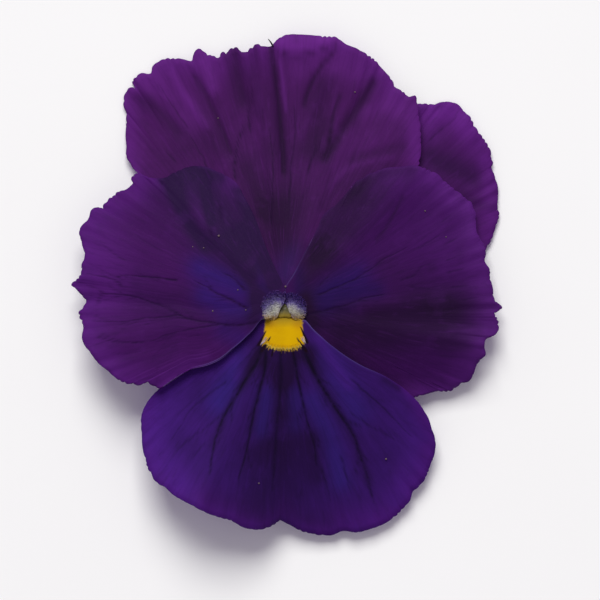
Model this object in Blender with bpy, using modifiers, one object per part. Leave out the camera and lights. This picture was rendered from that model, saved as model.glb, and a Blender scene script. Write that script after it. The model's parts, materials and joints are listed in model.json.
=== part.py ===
"""A viola flower, picked with a short stalk and lying face up.

Metres, +Z up. +Y points from the throat to the two upper petals and +X to the right, as seen from above.
The working sizes are in millimetres and degrees about the throat. Directions turn counterclockwise from +X.
At the end the whole flower is moved, so that its origin is the middle of the underside of its box.
"""

import math
import random
from dataclasses import dataclass, field

import bmesh
import bpy
import numpy as np
from mathutils import Vector

MM = 0.001

# Petals and sepals: how thick they are, and how finely they are divided
BLADE = 0.66
PETAL_COLUMNS = 36
CLAW_ROWS = 3
BLADE_ROWS = 8
SEPAL_COLUMNS = 4

# The face of the flower: a low dome that comes down from the throat to a rim at this distance
FACE_TOP = 6.3
FACE_SPREAD = 36.0
FACE_RIM = [  # direction, height of the rim
    (-180, 1.4),
    (-150, 1.3),
    (-110, 2.5),
    (-90, 1.2),
    (-72, -0.1),
    (-35, -0.8),
    (0, 0.0),
    (20, 0.65),
    (60, 0.65),
    (90, 0.1),
    (125, -0.45),
    (150, 0.4),
    (180, 1.4),
]

# The centre of the flower: everything grows from the receptacle, a cup at the top of the stalk
RING_CENTRE = Vector((0, 0.8, 0))
CUP_TOP = 4.7
CUP_RADIUS = 2.6
SEAT_GAP = 0.3
CLAW_RING = 2.3
CLAW_HALF_ANGLE = 28
THROAT = 3.1
RUFFLES_ROUND = (7, 12)
LOBES_ROUND = (23, 37)

SEPAL_DIRECTIONS = (90, 162, 234, 306, 18)
SEPAL_LENGTH = 12.0
SEPAL_RING = 3.35
SEPAL_LEVEL = -1.3
SEPAL_HALF_WIDTH = 1.8
SEPAL_BACK = [(4.3, 2.7), (3.65, 3.2), (SEPAL_RING, 3.95), (3.7, 4.65)]  # its lobe and base: distance, height
SEPAL_BACK_HALF_WIDTHS = (0.35, 0.75, 0.8, 0.95)
SEPAL_BLADE_ROWS = 6

STAMEN_RING = 1.27
STAMEN_HALF_SIZES = (0.3, 0.58, 1.45)
OVARY_RADIUS = 0.62

SPUR_TIP = Vector((0, -4.5, 0))


@dataclass
class Petal:
    """One petal. A side lists distances from the throat, each with the side's direction there.

    The edge lists directions, each with the reach, the lift over the petal's level and the ruffles' size.
    """

    name: str
    level: float
    claw: float
    first_side: list
    last_side: list
    lobe_size: float
    seed: int
    colour: tuple
    edge: list
    folds: list = field(default_factory=list)


PETALS = (
    Petal(
        "petal_upper_front",
        level=0.9,
        claw=120,
        first_side=[(THROAT, 62), (6, 52.5), (10, 48), (17, 46)],
        last_side=[(THROAT, 125), (6, 133.5), (10, 137.5), (17, 139)],
        lobe_size=0.2,
        seed=11,
        colour=(0.045, 0.012, 0.07),
        edge=[
            (46, 24.0, 0.0, 0.0),
            (52, 30.7, 0.1, 0.1),
            (58, 34.6, 0.3, 0.3),
            (69, 36.8, 0.3, 0.5),
            (79, 39.1, 0.5, 0.5),
            (88, 38.6, 0.7, 0.4),
            (96, 36.7, 0.4, 0.4),
            (104, 36.8, 0.2, 0.5),
            (109, 38.0, 0.0, 0.4),
            (116, 38.7, 0.0, 0.4),
            (123, 38.6, 0.0, 0.3),
            (127, 37.2, 0.0, 0.3),
            (133, 32.8, 0.0, 0.2),
            (139, 25.0, 0.0, 0.0),
        ],
        folds=[(95.5, 0.55, 3.0), (112, 0.35, 4.0), (74, 0.3, 4.0)],
    ),
    Petal(
        "petal_upper_rear",
        level=-0.3,
        claw=60,
        first_side=[(THROAT, 38), (6, 23.5), (10, 17), (17, 14)],
        last_side=[(THROAT, 75), (6, 91.5), (10, 100), (17, 103)],
        lobe_size=0.2,
        seed=12,
        colour=(0.045, 0.012, 0.065),
        edge=[
            (14, 25.5, 0.0, 0.0),
            (17, 29.3, 0.0, 0.1),
            (24, 32.9, 0.0, 0.3),
            (34, 35.1, 0.0, 0.4),
            (43, 37.0, 0.0, 0.3),
            (50, 37.7, 0.0, 0.1),
            (54, 35.9, 0.0, 0.0),
            (60, 34.0, 0.0, 0.0),
            (75, 31.5, 0.0, 0.0),
            (90, 28.5, 0.0, 0.0),
            (103, 23.0, 0.0, 0.0),
        ],
    ),
    Petal(
        "petal_lateral_left",
        level=3.9,
        claw=190,
        first_side=[(THROAT, 92), (6, 102), (9, 106), (13, 107.5), (17, 109.5)],
        last_side=[(THROAT, 195), (4.8, 207.5), (6.6, 212), (9, 214.5), (12, 215), (15, 211.5)],
        lobe_size=0.3,
        seed=13,
        colour=(0.045, 0.008, 0.075),
        edge=[
            (109.5, 16.5, -0.5, 0.1),
            (112, 20.0, -0.7, 0.2),
            (119, 23.2, -1.0, 0.2),
            (128, 24.8, -1.2, 0.3),
            (135, 26.6, -1.2, 0.3),
            (138, 28.7, -1.2, 0.3),
            (142, 27.8, -0.9, 0.5),
            (150, 29.0, -0.6, 0.8),
            (156, 30.7, -0.2, 0.8),
            (162, 29.7, 0.0, 0.8),
            (173, 29.6, 0.0, 0.7),
            (182, 28.3, 0.2, 0.7),
            (190, 27.9, 0.5, 0.7),
            (199, 25.6, 0.6, 0.5),
            (204.5, 23.7, 0.6, 0.3),
            (207.5, 21.5, 0.6, 0.1),
            (210, 20.3, 0.5, 0.0),
            (211.5, 15.0, 0.5, 0.0),
        ],
        folds=[(133, 0.7, 7.0), (176, -0.45, 4.0), (189, 0.5, 5.0), (207, 0.6, 4.0)],
    ),
    Petal(
        "petal_lateral_right",
        level=1.9,
        claw=-10,
        first_side=[(THROAT, -38), (6, -43), (10, -45), (16, -46)],
        last_side=[(THROAT, 92), (5, 79), (7.3, 73.5), (9.5, 70.5), (13, 68.5)],
        lobe_size=0.3,
        seed=14,
        colour=(0.042, 0.007, 0.075),
        edge=[
            (-46, 15.5, -0.4, 0.0),
            (-39, 18.5, -0.7, 0.0),
            (-33, 21.8, -0.9, 0.1),
            (-27, 24.4, -0.9, 0.3),
            (-22, 26.5, -0.1, 0.5),
            (-14, 28.2, 1.7, 0.7),
            (-6, 29.4, 1.9, 0.7),
            (1, 30.4, 0.4, 0.6),
            (4, 29.2, 0.1, 0.6),
            (19, 29.3, -0.5, 0.5),
            (30, 30.2, -0.5, 0.4),
            (38, 28.9, -0.3, 0.3),
            (46, 28.0, 0.0, 0.1),
            (52, 25.9, 0.0, 0.0),
            (58, 22.7, 0.0, 0.0),
            (63, 18.4, 0.0, 0.0),
            (68.5, 13.0, 0.0, 0.0),
        ],
        folds=[(-4, -0.5, 4.0), (4, 0.5, 4.0), (48, 0.5, 7.0)],
    ),
    Petal(
        "petal_lower",
        level=2.9,
        claw=270,
        first_side=[(THROAT, 200), (6, 202), (10, 203), (16, 203)],
        last_side=[
            (THROAT, 337),
            (4.4, 329.5),
            (6.4, 325.5),
            (9.5, 324),
            (12.4, 324.7),
            (16.6, 327.2),
            (19.5, 327.2),
        ],
        lobe_size=0.15,
        seed=15,
        colour=(0.035, 0.01, 0.1),
        edge=[
            (203, 16.0, 0.0, 0.0),
            (208, 19.0, 0.0, 0.0),
            (213.5, 23.2, 0.0, 0.0),
            (218, 25.5, 0.1, 0.1),
            (226, 28.0, 0.8, 0.3),
            (236, 29.5, 2.1, 0.4),
            (247, 29.9, 2.8, 0.5),
            (258, 30.6, 1.6, 0.4),
            (265, 30.5, 0.3, 0.2),
            (268.5, 29.0, -0.7, 0.0),
            (272, 29.9, -1.7, 0.1),
            (278, 31.4, -2.2, 0.3),
            (291, 32.6, -1.4, 0.5),
            (299, 32.4, -1.0, 0.5),
            (307, 30.8, -0.9, 0.4),
            (315, 29.1, -0.7, 0.3),
            (323.5, 24.9, -0.2, 0.1),
            (327.2, 19.5, 0.0, 0.0),
        ],
        folds=[(268.5, -0.5, 5.0), (245, 0.4, 6.0), (290, 0.4, 6.0)],
    ),
)


def clear_scene():
    for thing in list(bpy.data.objects):
        bpy.data.objects.remove(thing, do_unlink=True)


def collection(name):
    made = bpy.data.collections.new(name)
    bpy.context.scene.collection.children.link(made)
    return made


def material(name, colour, roughness):
    made = bpy.data.materials.new(name)
    made.use_nodes = True
    shader = made.node_tree.nodes["Principled BSDF"]
    shader.inputs["Base Color"].default_value = (*colour, 1)
    shader.inputs["Roughness"].default_value = roughness
    shader.inputs["Metallic"].default_value = 0
    return made


def through(points, place, column=1):
    """The value at a place on the smooth curve through points, which begin with their places, rising."""
    places = [point[0] for point in points]
    values = [point[column] for point in points]
    slopes = np.gradient(values, places)
    place = min(max(place, places[0]), places[-1])
    i = min(max(int(np.searchsorted(places, place)) - 1, 0), len(places) - 2)
    step = places[i + 1] - places[i]
    s = (place - places[i]) / step
    start = (1 + 2 * s) * (1 - s) ** 2 * values[i] + s * (1 - s) ** 2 * step * slopes[i]
    end = s * s * (3 - 2 * s) * values[i + 1] + s * s * (s - 1) * step * slopes[i + 1]
    return float(start + end)


def towards(direction, distance, centre=Vector((0, 0, 0))):
    """The place at a distance and direction from a centre, at that centre's height."""
    angle = math.radians(direction)
    return centre + Vector((math.cos(angle), math.sin(angle), 0)) * distance


def face(place):
    """Height of the low dome that all the petals follow."""
    direction = math.degrees(math.atan2(place.y, place.x))
    rim = through(FACE_RIM, direction)
    fall = 0.5 + 0.5 * math.cos(math.pi * min(math.hypot(place.x, place.y) / FACE_SPREAD, 1))
    return rim + (FACE_TOP - rim) * fall


def between(start, end, share):
    return start + (end - start) * share


def ruffle(petal, direction):
    """An uneven wave round the petal's edge, from 0 to 1."""
    draw = random.Random(petal.seed)
    waves = [
        math.sin(math.radians(direction) * count + draw.uniform(0, 2 * math.pi)) for count in RUFFLES_ROUND
    ]
    return 0.5 + 0.25 * sum(waves)


def lobes(petal, direction):
    """Uneven small lobes of the outline, out and in from it."""
    draw = random.Random(petal.seed + 100)
    broad, narrow = (
        math.sin(math.radians(direction) * count + draw.uniform(0, 2 * math.pi)) for count in LOBES_ROUND
    )
    return petal.lobe_size * (0.6 * broad + 0.4 * narrow)


def blade_place(petal, u, s):
    """A place on the petal's blade: u goes from its first side to its last, s from the throat to the edge."""
    edge_direction = between(petal.first_side[-1][1], petal.last_side[-1][1], u)
    reach = through(petal.edge, edge_direction) + lobes(petal, edge_direction) * min(1, 6 * u, 6 * (1 - u))
    distance = between(THROAT, reach, s)
    direction = between(through(petal.first_side, distance), through(petal.last_side, distance), u)
    place = towards(direction, distance)
    place.z = face(place) + petal.level
    place.z += through(petal.edge, edge_direction, 2) * s**2
    place.z += through(petal.edge, edge_direction, 3) * ruffle(petal, edge_direction) * s**3
    for middle, height, half_width in petal.folds:
        place.z += height * math.exp(-(((edge_direction - middle) / half_width) ** 2)) * s
    place.z = max(place.z, BLADE / 2)
    return place


def petal_place(petal, u, row):
    """A place on the whole petal: the claw stands on the receptacle and bends over into the blade."""
    if row > CLAW_ROWS:
        return blade_place(petal, u, (row - CLAW_ROWS) / BLADE_ROWS)
    start = blade_place(petal, u, 0)
    foot = towards(petal.claw + (2 * u - 1) * CLAW_HALF_ANGLE, CLAW_RING, RING_CENTRE)
    knee = Vector((foot.x, foot.y, start.z))
    foot.z = CUP_TOP + SEAT_GAP
    w = row / CLAW_ROWS
    return foot * (1 - w) ** 2 + knee * 2 * w * (1 - w) + start * w * w


def sepal_place(direction, u, row):
    """A place on a sepal: a small lobe points back, and the blade lies under the petals."""
    side = 2 * u - 1
    if row < len(SEPAL_BACK):
        distance, height = SEPAL_BACK[row]
        half_width = SEPAL_BACK_HALF_WIDTHS[row]
    else:
        share = (row - len(SEPAL_BACK) + 1) / SEPAL_BLADE_ROWS
        distance = between(SEPAL_BACK[-1][0], SEPAL_RING + SEPAL_LENGTH, share)
        half_width = 0.2 + SEPAL_HALF_WIDTH * math.sin(math.pi * (0.15 + 0.85 * share)) ** 0.8
    along = towards(direction, distance, RING_CENTRE)
    across = towards(direction + 90, half_width * side)
    place = along + across
    if row < len(SEPAL_BACK):
        place.z = height
    else:
        place.z = face(place) + SEPAL_LEVEL - 0.25 * (1 - side**2) * math.sin(math.pi * share)
    place.z = max(place.z, BLADE / 2)
    return place


def sheet(name, place_at, columns, rows, finish, home):
    """A blade of even thickness, from a flat grid whose points are carried to where place_at says."""
    mesh = bpy.data.meshes.new(name)
    grid = bmesh.new()
    bmesh.ops.create_grid(grid, x_segments=columns, y_segments=rows, size=0.5)
    for corner in grid.verts:
        u = corner.co.x + 0.5
        row = round((corner.co.y + 0.5) * rows)
        corner.co = place_at(u, row) * MM
    bmesh.ops.triangulate(grid, faces=grid.faces[:])
    bmesh.ops.recalc_face_normals(grid, faces=grid.faces[:])
    grid.to_mesh(mesh)
    grid.free()
    mesh.materials.append(finish)
    mesh.shade_smooth()
    made = bpy.data.objects.new(name, mesh)
    home.objects.link(made)
    thicken = made.modifiers.new("Blade thickness", "SOLIDIFY")
    thicken.thickness = BLADE * MM
    thicken.offset = 0
    return made


def tube(name, stations, samples, finish, home):
    """A round stem on a smooth curve through hand-chosen stations, each a place and the radius there."""
    curve = bpy.data.curves.new(name, "CURVE")
    curve.dimensions = "3D"
    curve.bevel_depth = MM
    curve.bevel_resolution = 2
    curve.use_fill_caps = True
    curve.materials.append(finish)
    rows = [(i, *place, radius) for i, (place, radius) in enumerate(stations)]
    steps = np.linspace(0, len(rows) - 1, samples)
    spline = curve.splines.new("POLY")
    spline.points.add(len(steps) - 1)
    spline.use_smooth = True
    for point, step in zip(spline.points, steps):
        x, y, z, radius = (through(rows, step, column) for column in (1, 2, 3, 4))
        point.co = (x * MM, y * MM, z * MM, 1)
        point.radius = radius
    made = bpy.data.objects.new(name, curve)
    home.objects.link(made)
    return made


def as_mesh(thing, home):
    """The curve object as a closed mesh object of the same name, in place of the curve."""
    bpy.context.view_layer.update()
    graph = bpy.context.evaluated_depsgraph_get()
    mesh = bpy.data.meshes.new_from_object(thing.evaluated_get(graph))
    welded = bmesh.new()
    welded.from_mesh(mesh)
    bmesh.ops.remove_doubles(welded, verts=welded.verts[:], dist=0.001 * MM)
    bmesh.ops.recalc_face_normals(welded, faces=welded.faces[:])
    welded.to_mesh(mesh)
    welded.free()
    name = thing.name
    matrix = thing.matrix_world.copy()
    bpy.data.objects.remove(thing, do_unlink=True)
    made = bpy.data.objects.new(name, mesh)
    made.matrix_world = matrix
    home.objects.link(made)
    return made


def petals(home):
    made = {}
    for petal in PETALS:
        finish = material(petal.name, petal.colour, 0.7)
        made[petal.name] = sheet(
            petal.name,
            lambda u, row, petal=petal: petal_place(petal, u, row),
            PETAL_COLUMNS,
            CLAW_ROWS + BLADE_ROWS,
            finish,
            home,
        )
    return made


def spur(lower_petal, cutters):
    """The nectar spur: a blunt pouch behind the lower petal, which the flower stands on."""
    stations = [
        ((0, -3.5, 9.0), 1.5),
        ((0, -3.7, 8.0), 1.4),
        ((0, -3.9, 6.4), 1.2),
        ((0, -4.2, 4.4), 1.1),
        ((0, -4.4, 2.4), 1.15),
        ((0, -4.5, 1.0), 1.1),
        ((0, -4.5, 0.4), 0.95),
        ((0, -4.5, 0.1), 0.75),
        (tuple(SPUR_TIP), 0.55),
    ]
    pouch = as_mesh(tube("spur_pouch", stations, 17, lower_petal.data.materials[0], cutters), cutters)
    pouch.hide_render = True
    pouch.display_type = "WIRE"
    join = lower_petal.modifiers.new("Spur", "BOOLEAN")
    join.operation = "UNION"
    join.object = pouch
    return pouch


def sepals(home):
    finish = material("sepal", (0.09, 0.16, 0.03), 0.6)
    rows = len(SEPAL_BACK) - 1 + SEPAL_BLADE_ROWS
    return [
        sheet(
            f"sepal_{number}",
            lambda u, row, direction=direction: sepal_place(direction, u, row),
            SEPAL_COLUMNS,
            rows,
            finish,
            home,
        )
        for number, direction in enumerate(SEPAL_DIRECTIONS, 1)
    ]


def stalk(home):
    """The picked stalk lies along the surface and turns up into the receptacle."""
    stations = [
        ((-4.6, 14.6, 0.8), 0.72),
        ((-4.0, 12.0, 0.76), 0.7),
        ((-3.0, 9.2, 0.76), 0.7),
        ((-1.9, 6.4, 0.85), 0.72),
        ((-0.8, 3.9, 1.15), 0.75),
        ((-0.2, 2.2, 1.75), 0.8),
        ((0, 1.3, 2.5), 0.95),
        ((0, RING_CENTRE.y, 3.2), 1.25),
        ((0, RING_CENTRE.y, 3.8), 1.95),
        ((0, RING_CENTRE.y, 4.2), 2.45),
        ((0, RING_CENTRE.y, CUP_TOP), CUP_RADIUS),
    ]
    return tube("stalk", stations, 21, material("stalk", (0.12, 0.2, 0.05), 0.55), home)


def pistil(home):
    """The ovary, its bent style and the round stigma that shows in the throat, as one piece."""
    base = CUP_TOP + SEAT_GAP
    stations = [
        ((0, RING_CENTRE.y, base), 0.45),
        ((0, RING_CENTRE.y, base + 0.5), OVARY_RADIUS),
        ((0, RING_CENTRE.y, base + 1.5), OVARY_RADIUS),
        ((0, RING_CENTRE.y, base + 2.3), 0.35),
        ((0, 0.7, base + 2.9), 0.3),
        ((0, 0.55, base + 3.4), 0.5),
        ((0, 0.4, base + 3.8), 0.85),
        ((0, 0.35, base + 4.2), 0.85),
        ((0, 0.3, base + 4.5), 0.5),
    ]
    return tube("pistil", stations, 17, material("pistil", (0.18, 0.22, 0.05), 0.45), home)


def stamens(home):
    """Five flat anthers, closed in a cone round the ovary."""
    finish = material("stamen", (0.6, 0.42, 0.16), 0.7)
    made = []
    for number, direction in enumerate(SEPAL_DIRECTIONS, 1):
        mesh = bpy.data.meshes.new(f"stamen_{number}")
        body = bmesh.new()
        bmesh.ops.create_uvsphere(body, u_segments=8, v_segments=7, radius=1)
        bmesh.ops.scale(body, vec=Vector(STAMEN_HALF_SIZES) * MM, verts=body.verts[:])
        body.to_mesh(mesh)
        body.free()
        mesh.materials.append(finish)
        mesh.shade_smooth()
        anther = bpy.data.objects.new(mesh.name, mesh)
        place = towards(direction, STAMEN_RING, RING_CENTRE)
        place.z = CUP_TOP + SEAT_GAP + STAMEN_HALF_SIZES[2]
        anther.location = place * MM
        anther.rotation_euler = (0, 0, math.radians(direction))
        home.objects.link(anther)
        made.append(anther)
    return made


def stand_on_origin(things, home):
    """Move the flower so that the middle of the underside of its box is the origin."""
    bpy.context.view_layer.update()
    graph = bpy.context.evaluated_depsgraph_get()
    corners = []
    for thing in things:
        shown = thing.evaluated_get(graph)
        mesh = shown.to_mesh()
        corners += [shown.matrix_world @ corner.co for corner in mesh.vertices]
        shown.to_mesh_clear()
    low = [min(corner[axis] for corner in corners) for axis in range(3)]
    high = [max(corner[axis] for corner in corners) for axis in range(3)]
    holder = bpy.data.objects.new("viola_flower", None)
    holder.location = (-(low[0] + high[0]) / 2, -(low[1] + high[1]) / 2, -low[2])
    home.objects.link(holder)
    return holder


def build():
    clear_scene()
    home = collection("viola_flower")
    cutters = collection("cutters")
    made = petals(home)
    pouch = spur(made["petal_lower"], cutters)
    pieces = [*made.values(), *sepals(home), stalk(home), pistil(home), *stamens(home)]
    holder = stand_on_origin(pieces, home)
    for piece in [*pieces, pouch]:
        piece.parent = holder


build()
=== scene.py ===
# %% [markdown]
# # A viola flower, petal by petal
#
# This lesson dresses one bloom of a garden viola that lies face up on pale paper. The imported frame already
# holds every piece as a plain solid at its real size. Here each one gets the fine surface that makes it a
# flower: thin waved petals with their teeth and veins, the yellow eye, the two beards in the throat, and
# what lies behind.

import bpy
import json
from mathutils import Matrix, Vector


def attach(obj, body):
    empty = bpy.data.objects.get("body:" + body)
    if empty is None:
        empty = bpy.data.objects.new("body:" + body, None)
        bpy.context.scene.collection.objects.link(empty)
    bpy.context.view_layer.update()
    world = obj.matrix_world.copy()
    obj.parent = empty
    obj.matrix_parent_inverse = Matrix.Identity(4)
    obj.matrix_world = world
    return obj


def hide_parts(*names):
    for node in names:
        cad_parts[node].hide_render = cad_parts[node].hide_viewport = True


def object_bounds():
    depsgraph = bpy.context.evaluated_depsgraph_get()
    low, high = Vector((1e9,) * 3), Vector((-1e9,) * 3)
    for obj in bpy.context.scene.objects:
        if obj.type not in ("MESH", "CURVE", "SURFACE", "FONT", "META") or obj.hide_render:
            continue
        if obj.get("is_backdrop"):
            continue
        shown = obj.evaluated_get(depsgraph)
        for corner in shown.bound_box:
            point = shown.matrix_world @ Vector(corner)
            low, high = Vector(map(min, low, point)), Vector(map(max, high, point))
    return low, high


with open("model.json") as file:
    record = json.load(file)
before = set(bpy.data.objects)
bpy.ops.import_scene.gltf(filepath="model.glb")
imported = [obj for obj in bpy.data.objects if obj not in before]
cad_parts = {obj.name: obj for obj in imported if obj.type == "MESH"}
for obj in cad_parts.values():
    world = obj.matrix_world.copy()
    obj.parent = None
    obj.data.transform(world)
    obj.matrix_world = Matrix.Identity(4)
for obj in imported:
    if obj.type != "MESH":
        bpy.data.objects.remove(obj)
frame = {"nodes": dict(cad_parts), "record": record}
cad_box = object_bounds()
print("pieces in the frame:", len(frame["nodes"]))

# %% [markdown]
# ## A ruler
#
# Petals are easier to think about in millimetres and degrees about the throat, where they all meet. The
# frame gives the place of the spur's end, and the throat lies straight in front of it. A photograph taken
# from above works like a map, so places on it can be read off in pixels and turned into millimetres with
# one scale.

# %% Millimetres about the throat
import json
import math
import random
from dataclasses import dataclass, field

import bpy
import numpy as np
from mathutils import Vector

MM = 0.001
SPUR_BEHIND_THROAT = 4.5
PHOTO_SIDE = 600
PIXEL = 0.14
THROAT_PIXEL = (285, 312)

spur_end = frame["record"]["mounts"][0]["pos_m"]
throat = np.array([spur_end[0], spur_end[1] + SPUR_BEHIND_THROAT * MM, 0])


def from_photo(places):
    """Places read off the photograph, in pixels, as millimetres about the throat."""
    places = np.asarray(places, float)
    return np.column_stack([places[:, 0] - THROAT_PIXEL[0], THROAT_PIXEL[1] - places[:, 1]]) * PIXEL


def in_frame(places):
    """Places in millimetres about the throat as metres in the frame."""
    return np.asarray(places, float) * MM + throat


print("throat, in metres:", [round(float(value), 5) for value in throat])

# %% [markdown]
# ## Camera, light and paper
#
# The bloom was photographed from straight above. A long lens far away keeps the raised petals from looking
# larger than the low ones. Its angle follows from the width of the picture at the height of the petals.

# %% Camera
CAMERA_HEIGHT = 2.0
FACE_HEIGHT = 3.0
SENSOR_WIDTH = 36


def add_object(name, data):
    """A new object in the scene that holds a mesh, a lamp or a camera."""
    made = bpy.data.objects.new(name, data)
    bpy.context.scene.collection.objects.link(made)
    return made


picture_width = PHOTO_SIDE * PIXEL * MM
middle = from_photo([(PHOTO_SIDE / 2, PHOTO_SIDE / 2)])[0]
camera = add_object("camera", bpy.data.cameras.new("camera"))
camera.location = in_frame([middle[0], middle[1], CAMERA_HEIGHT / MM])
camera.data.sensor_width = SENSOR_WIDTH
camera.data.lens = SENSOR_WIDTH * (CAMERA_HEIGHT - FACE_HEIGHT * MM) / picture_width
camera.data.clip_end = 5 * CAMERA_HEIGHT
bpy.context.scene.camera = camera
bpy.context.scene.view_settings.view_transform = "Standard"
print("lens, in millimetres:", round(camera.data.lens))

# %% [markdown]
# The soft shadows fall almost straight down the picture, so the light is a broad lamp high behind the upper
# petals, and a weak even sky fills the shadows. A second lamp shines from below the paper and lights only
# the flower's back. An area lamp was chosen, because its width is what makes the shadows soft.

# %% Lamps and sky
LAMP_AWAY = 3.0
LAMP_WIDTH = 1.7
LAMP_POWER = 85.0
LAMP_TINT = (1.0, 1.0, 0.975)
LAMP_TOWARDS = Vector((-0.08, 0.68, 0.73))
BELOW_POWER = 49.0
SKY_TINT = (0.98, 0.91, 1.07, 1)
SKY_STRENGTH = 0.36


def hang_lamp(name, power, direction):
    """A broad square lamp that shines on the throat from this direction."""
    made = add_object(name, bpy.data.lights.new(name, "AREA"))
    made.data.size = LAMP_WIDTH
    made.data.energy = power
    made.location = Vector(throat) + direction.normalized() * LAMP_AWAY
    made.rotation_euler = direction.to_track_quat("Z", "Y").to_euler()
    return made


lamp = hang_lamp("soft_lamp", LAMP_POWER, LAMP_TOWARDS)
lamp.data.color = LAMP_TINT
hang_lamp("lamp_below", BELOW_POWER, -LAMP_TOWARDS)

sky = bpy.data.worlds.new("sky")
sky.use_nodes = True
background = sky.node_tree.nodes["Background"].inputs
background["Color"].default_value = SKY_TINT
background["Strength"].default_value = SKY_STRENGTH
bpy.context.scene.world = sky
print("lamp height, in metres:", round(lamp.location.z, 3))

# %% [markdown]
# Every finish below is a small tree of shader nodes. The first helpers turn a colour into a shader's numbers,
# add a node and fill its sockets, and read what each point of a mesh holds.


# %% Colours and nodes
def tone(red, green, blue):
    """A colour as it shows on a screen, from 0 to 255, in the linear numbers that shaders take."""
    shares = [value / 255 for value in (red, green, blue)]
    return (*[s / 12.92 if s < 0.04045 else ((s + 0.055) / 1.055) ** 2.4 for s in shares], 1)


def add_node(tree, kind, inputs=None, **settings):
    """A new node. Each of its inputs may be a value or the socket of another node."""
    made = tree.nodes.new(kind)
    for name, value in settings.items():
        setattr(made, name, value)
    for name, value in (inputs or {}).items():
        if isinstance(value, bpy.types.NodeSocket):
            tree.links.new(value, made.inputs[name])
        else:
            made.inputs[name].default_value = value
    return made


def measured(tree, name):
    """The number that each point of the mesh holds under this name."""
    return add_node(tree, "ShaderNodeAttribute", attribute_name=name).outputs["Fac"]


def placed(tree, name):
    """The place that each point of the mesh holds under this name."""
    return add_node(tree, "ShaderNodeAttribute", attribute_name=name).outputs["Vector"]


def on_object(tree):
    """Where each point lies on its object, in metres."""
    return add_node(tree, "ShaderNodeTexCoord").outputs["Object"]


print("a middle grey is", round(tone(128, 128, 128)[0], 3))

# %% [markdown]
# The other helpers mix two colours, stretch a value from one span to another, make cloudy noise, raise fine
# relief, start a new finish, and hand its colour and relief to the shader.

# %% Mixing, noise and relief
MIX_INPUTS = (0, 6, 7)  # the sockets of a mix node that hold the factor and the two colours
MIX_RESULT = 2
SHEEN_ROUGHNESS = 0.4


def mix(tree, factor, first, second):
    """Two colours mixed. Each of the three may be a socket or a value."""
    inputs = dict(zip(MIX_INPUTS, (factor, first, second)))
    return add_node(tree, "ShaderNodeMix", inputs, data_type="RGBA").outputs[MIX_RESULT]


def reckon(tree, operation, first, second):
    """Two numbers put together by an operation, such as MULTIPLY or MAXIMUM."""
    return add_node(tree, "ShaderNodeMath", {0: first, 1: second}, operation=operation).outputs["Value"]


def spread(tree, value, low, high, to_low=0.0, to_high=1.0):
    """A value taken from one span of numbers to another, and held inside it."""
    inputs = {"Value": value, "From Min": low, "From Max": high, "To Min": to_low, "To Max": to_high}
    return add_node(tree, "ShaderNodeMapRange", inputs).outputs["Result"]


def noise(tree, place, scale, detail=3.0, roughness=0.5, distortion=0.0):
    """Cloudy noise from 0 to 1. The larger the scale, the finer the clouds."""
    inputs = {"Vector": place, "Scale": scale, "Detail": detail}
    inputs.update({"Roughness": roughness, "Distortion": distortion})
    return add_node(tree, "ShaderNodeTexNoise", inputs).outputs["Fac"]


def bump(tree, height, depth, strength=1.0, under=None):
    """A surface that rises by up to depth millimetres where height is 1."""
    inputs = {"Height": height, "Distance": depth * MM, "Strength": strength}
    if under is not None:
        inputs["Normal"] = under
    return add_node(tree, "ShaderNodeBump", inputs).outputs["Normal"]


def new_finish(name, roughness=0.6, sheen=0.0, sheen_colour=(1, 1, 1, 1), specular=0.4):
    """A new material, its tree and its shader, with the values that are the same all over the surface."""
    made = bpy.data.materials.new(name)
    made.use_nodes = True
    shader = made.node_tree.nodes["Principled BSDF"]
    shader.inputs["Roughness"].default_value = roughness
    shader.inputs["Specular IOR Level"].default_value = specular
    shader.inputs["Sheen Weight"].default_value = sheen
    shader.inputs["Sheen Roughness"].default_value = SHEEN_ROUGHNESS
    shader.inputs["Sheen Tint"].default_value = sheen_colour
    return made, made.node_tree, shader


def paint(tree, shader, colour, relief=None):
    """Hands the colour, and the fine relief if there is any, to the shader."""
    tree.links.new(colour, shader.inputs["Base Color"])
    if relief is not None:
        tree.links.new(relief, shader.inputs["Normal"])


print("a mix node has its colours at sockets", MIX_INPUTS[1:])

# %% [markdown]
# The paper is only what the flower lies on, a near white. It is clear from below and lets the lamp below
# shine through, so that the flower's back can be looked at too.

# %% Paper
PAPER_WIDTH = 3.0
PAPER_TONES = (tone(250, 251, 248), tone(248, 249, 246))
PAPER_CLOUDS = 40.0

half = PAPER_WIDTH / 2
corners = [(x * half, y * half, 0) for x, y in ((-1, -1), (1, -1), (1, 1), (-1, 1))]
paper_mesh = bpy.data.meshes.new("paper")
paper_mesh.from_pydata(corners, [], [(0, 1, 2, 3)])
paper = add_object("paper", paper_mesh)
paper_finish, tree, shader = new_finish("paper", roughness=0.8, specular=0.2)
paint(tree, shader, mix(tree, noise(tree, on_object(tree), PAPER_CLOUDS), *PAPER_TONES))
behind = add_node(tree, "ShaderNodeNewGeometry").outputs["Backfacing"]
to_lamp = add_node(tree, "ShaderNodeLightPath").outputs["Is Shadow Ray"]
either = reckon(tree, "MAXIMUM", behind, to_lamp)
clear = add_node(tree, "ShaderNodeBsdfTransparent").outputs["BSDF"]
see_through = add_node(tree, "ShaderNodeMixShader", {0: either, 1: shader.outputs["BSDF"], 2: clear})
tree.links.new(see_through.outputs["Shader"], tree.nodes["Material Output"].inputs["Surface"])
paper_mesh.materials.append(paper_finish)
paper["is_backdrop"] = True
print("paper, in metres:", PAPER_WIDTH)

# %% [markdown]
# ## How a petal is drawn
#
# A petal is a sheet on a fan of lines that all start at the throat. Its outline is read off the photograph
# as a list of places, and everything between is worked out. Two helpers do the smooth work: the value of a
# curve through points, and evenly spaced places on a line through points. Smooth cubic pieces were chosen,
# because they pass through every place that was read off.

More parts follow.
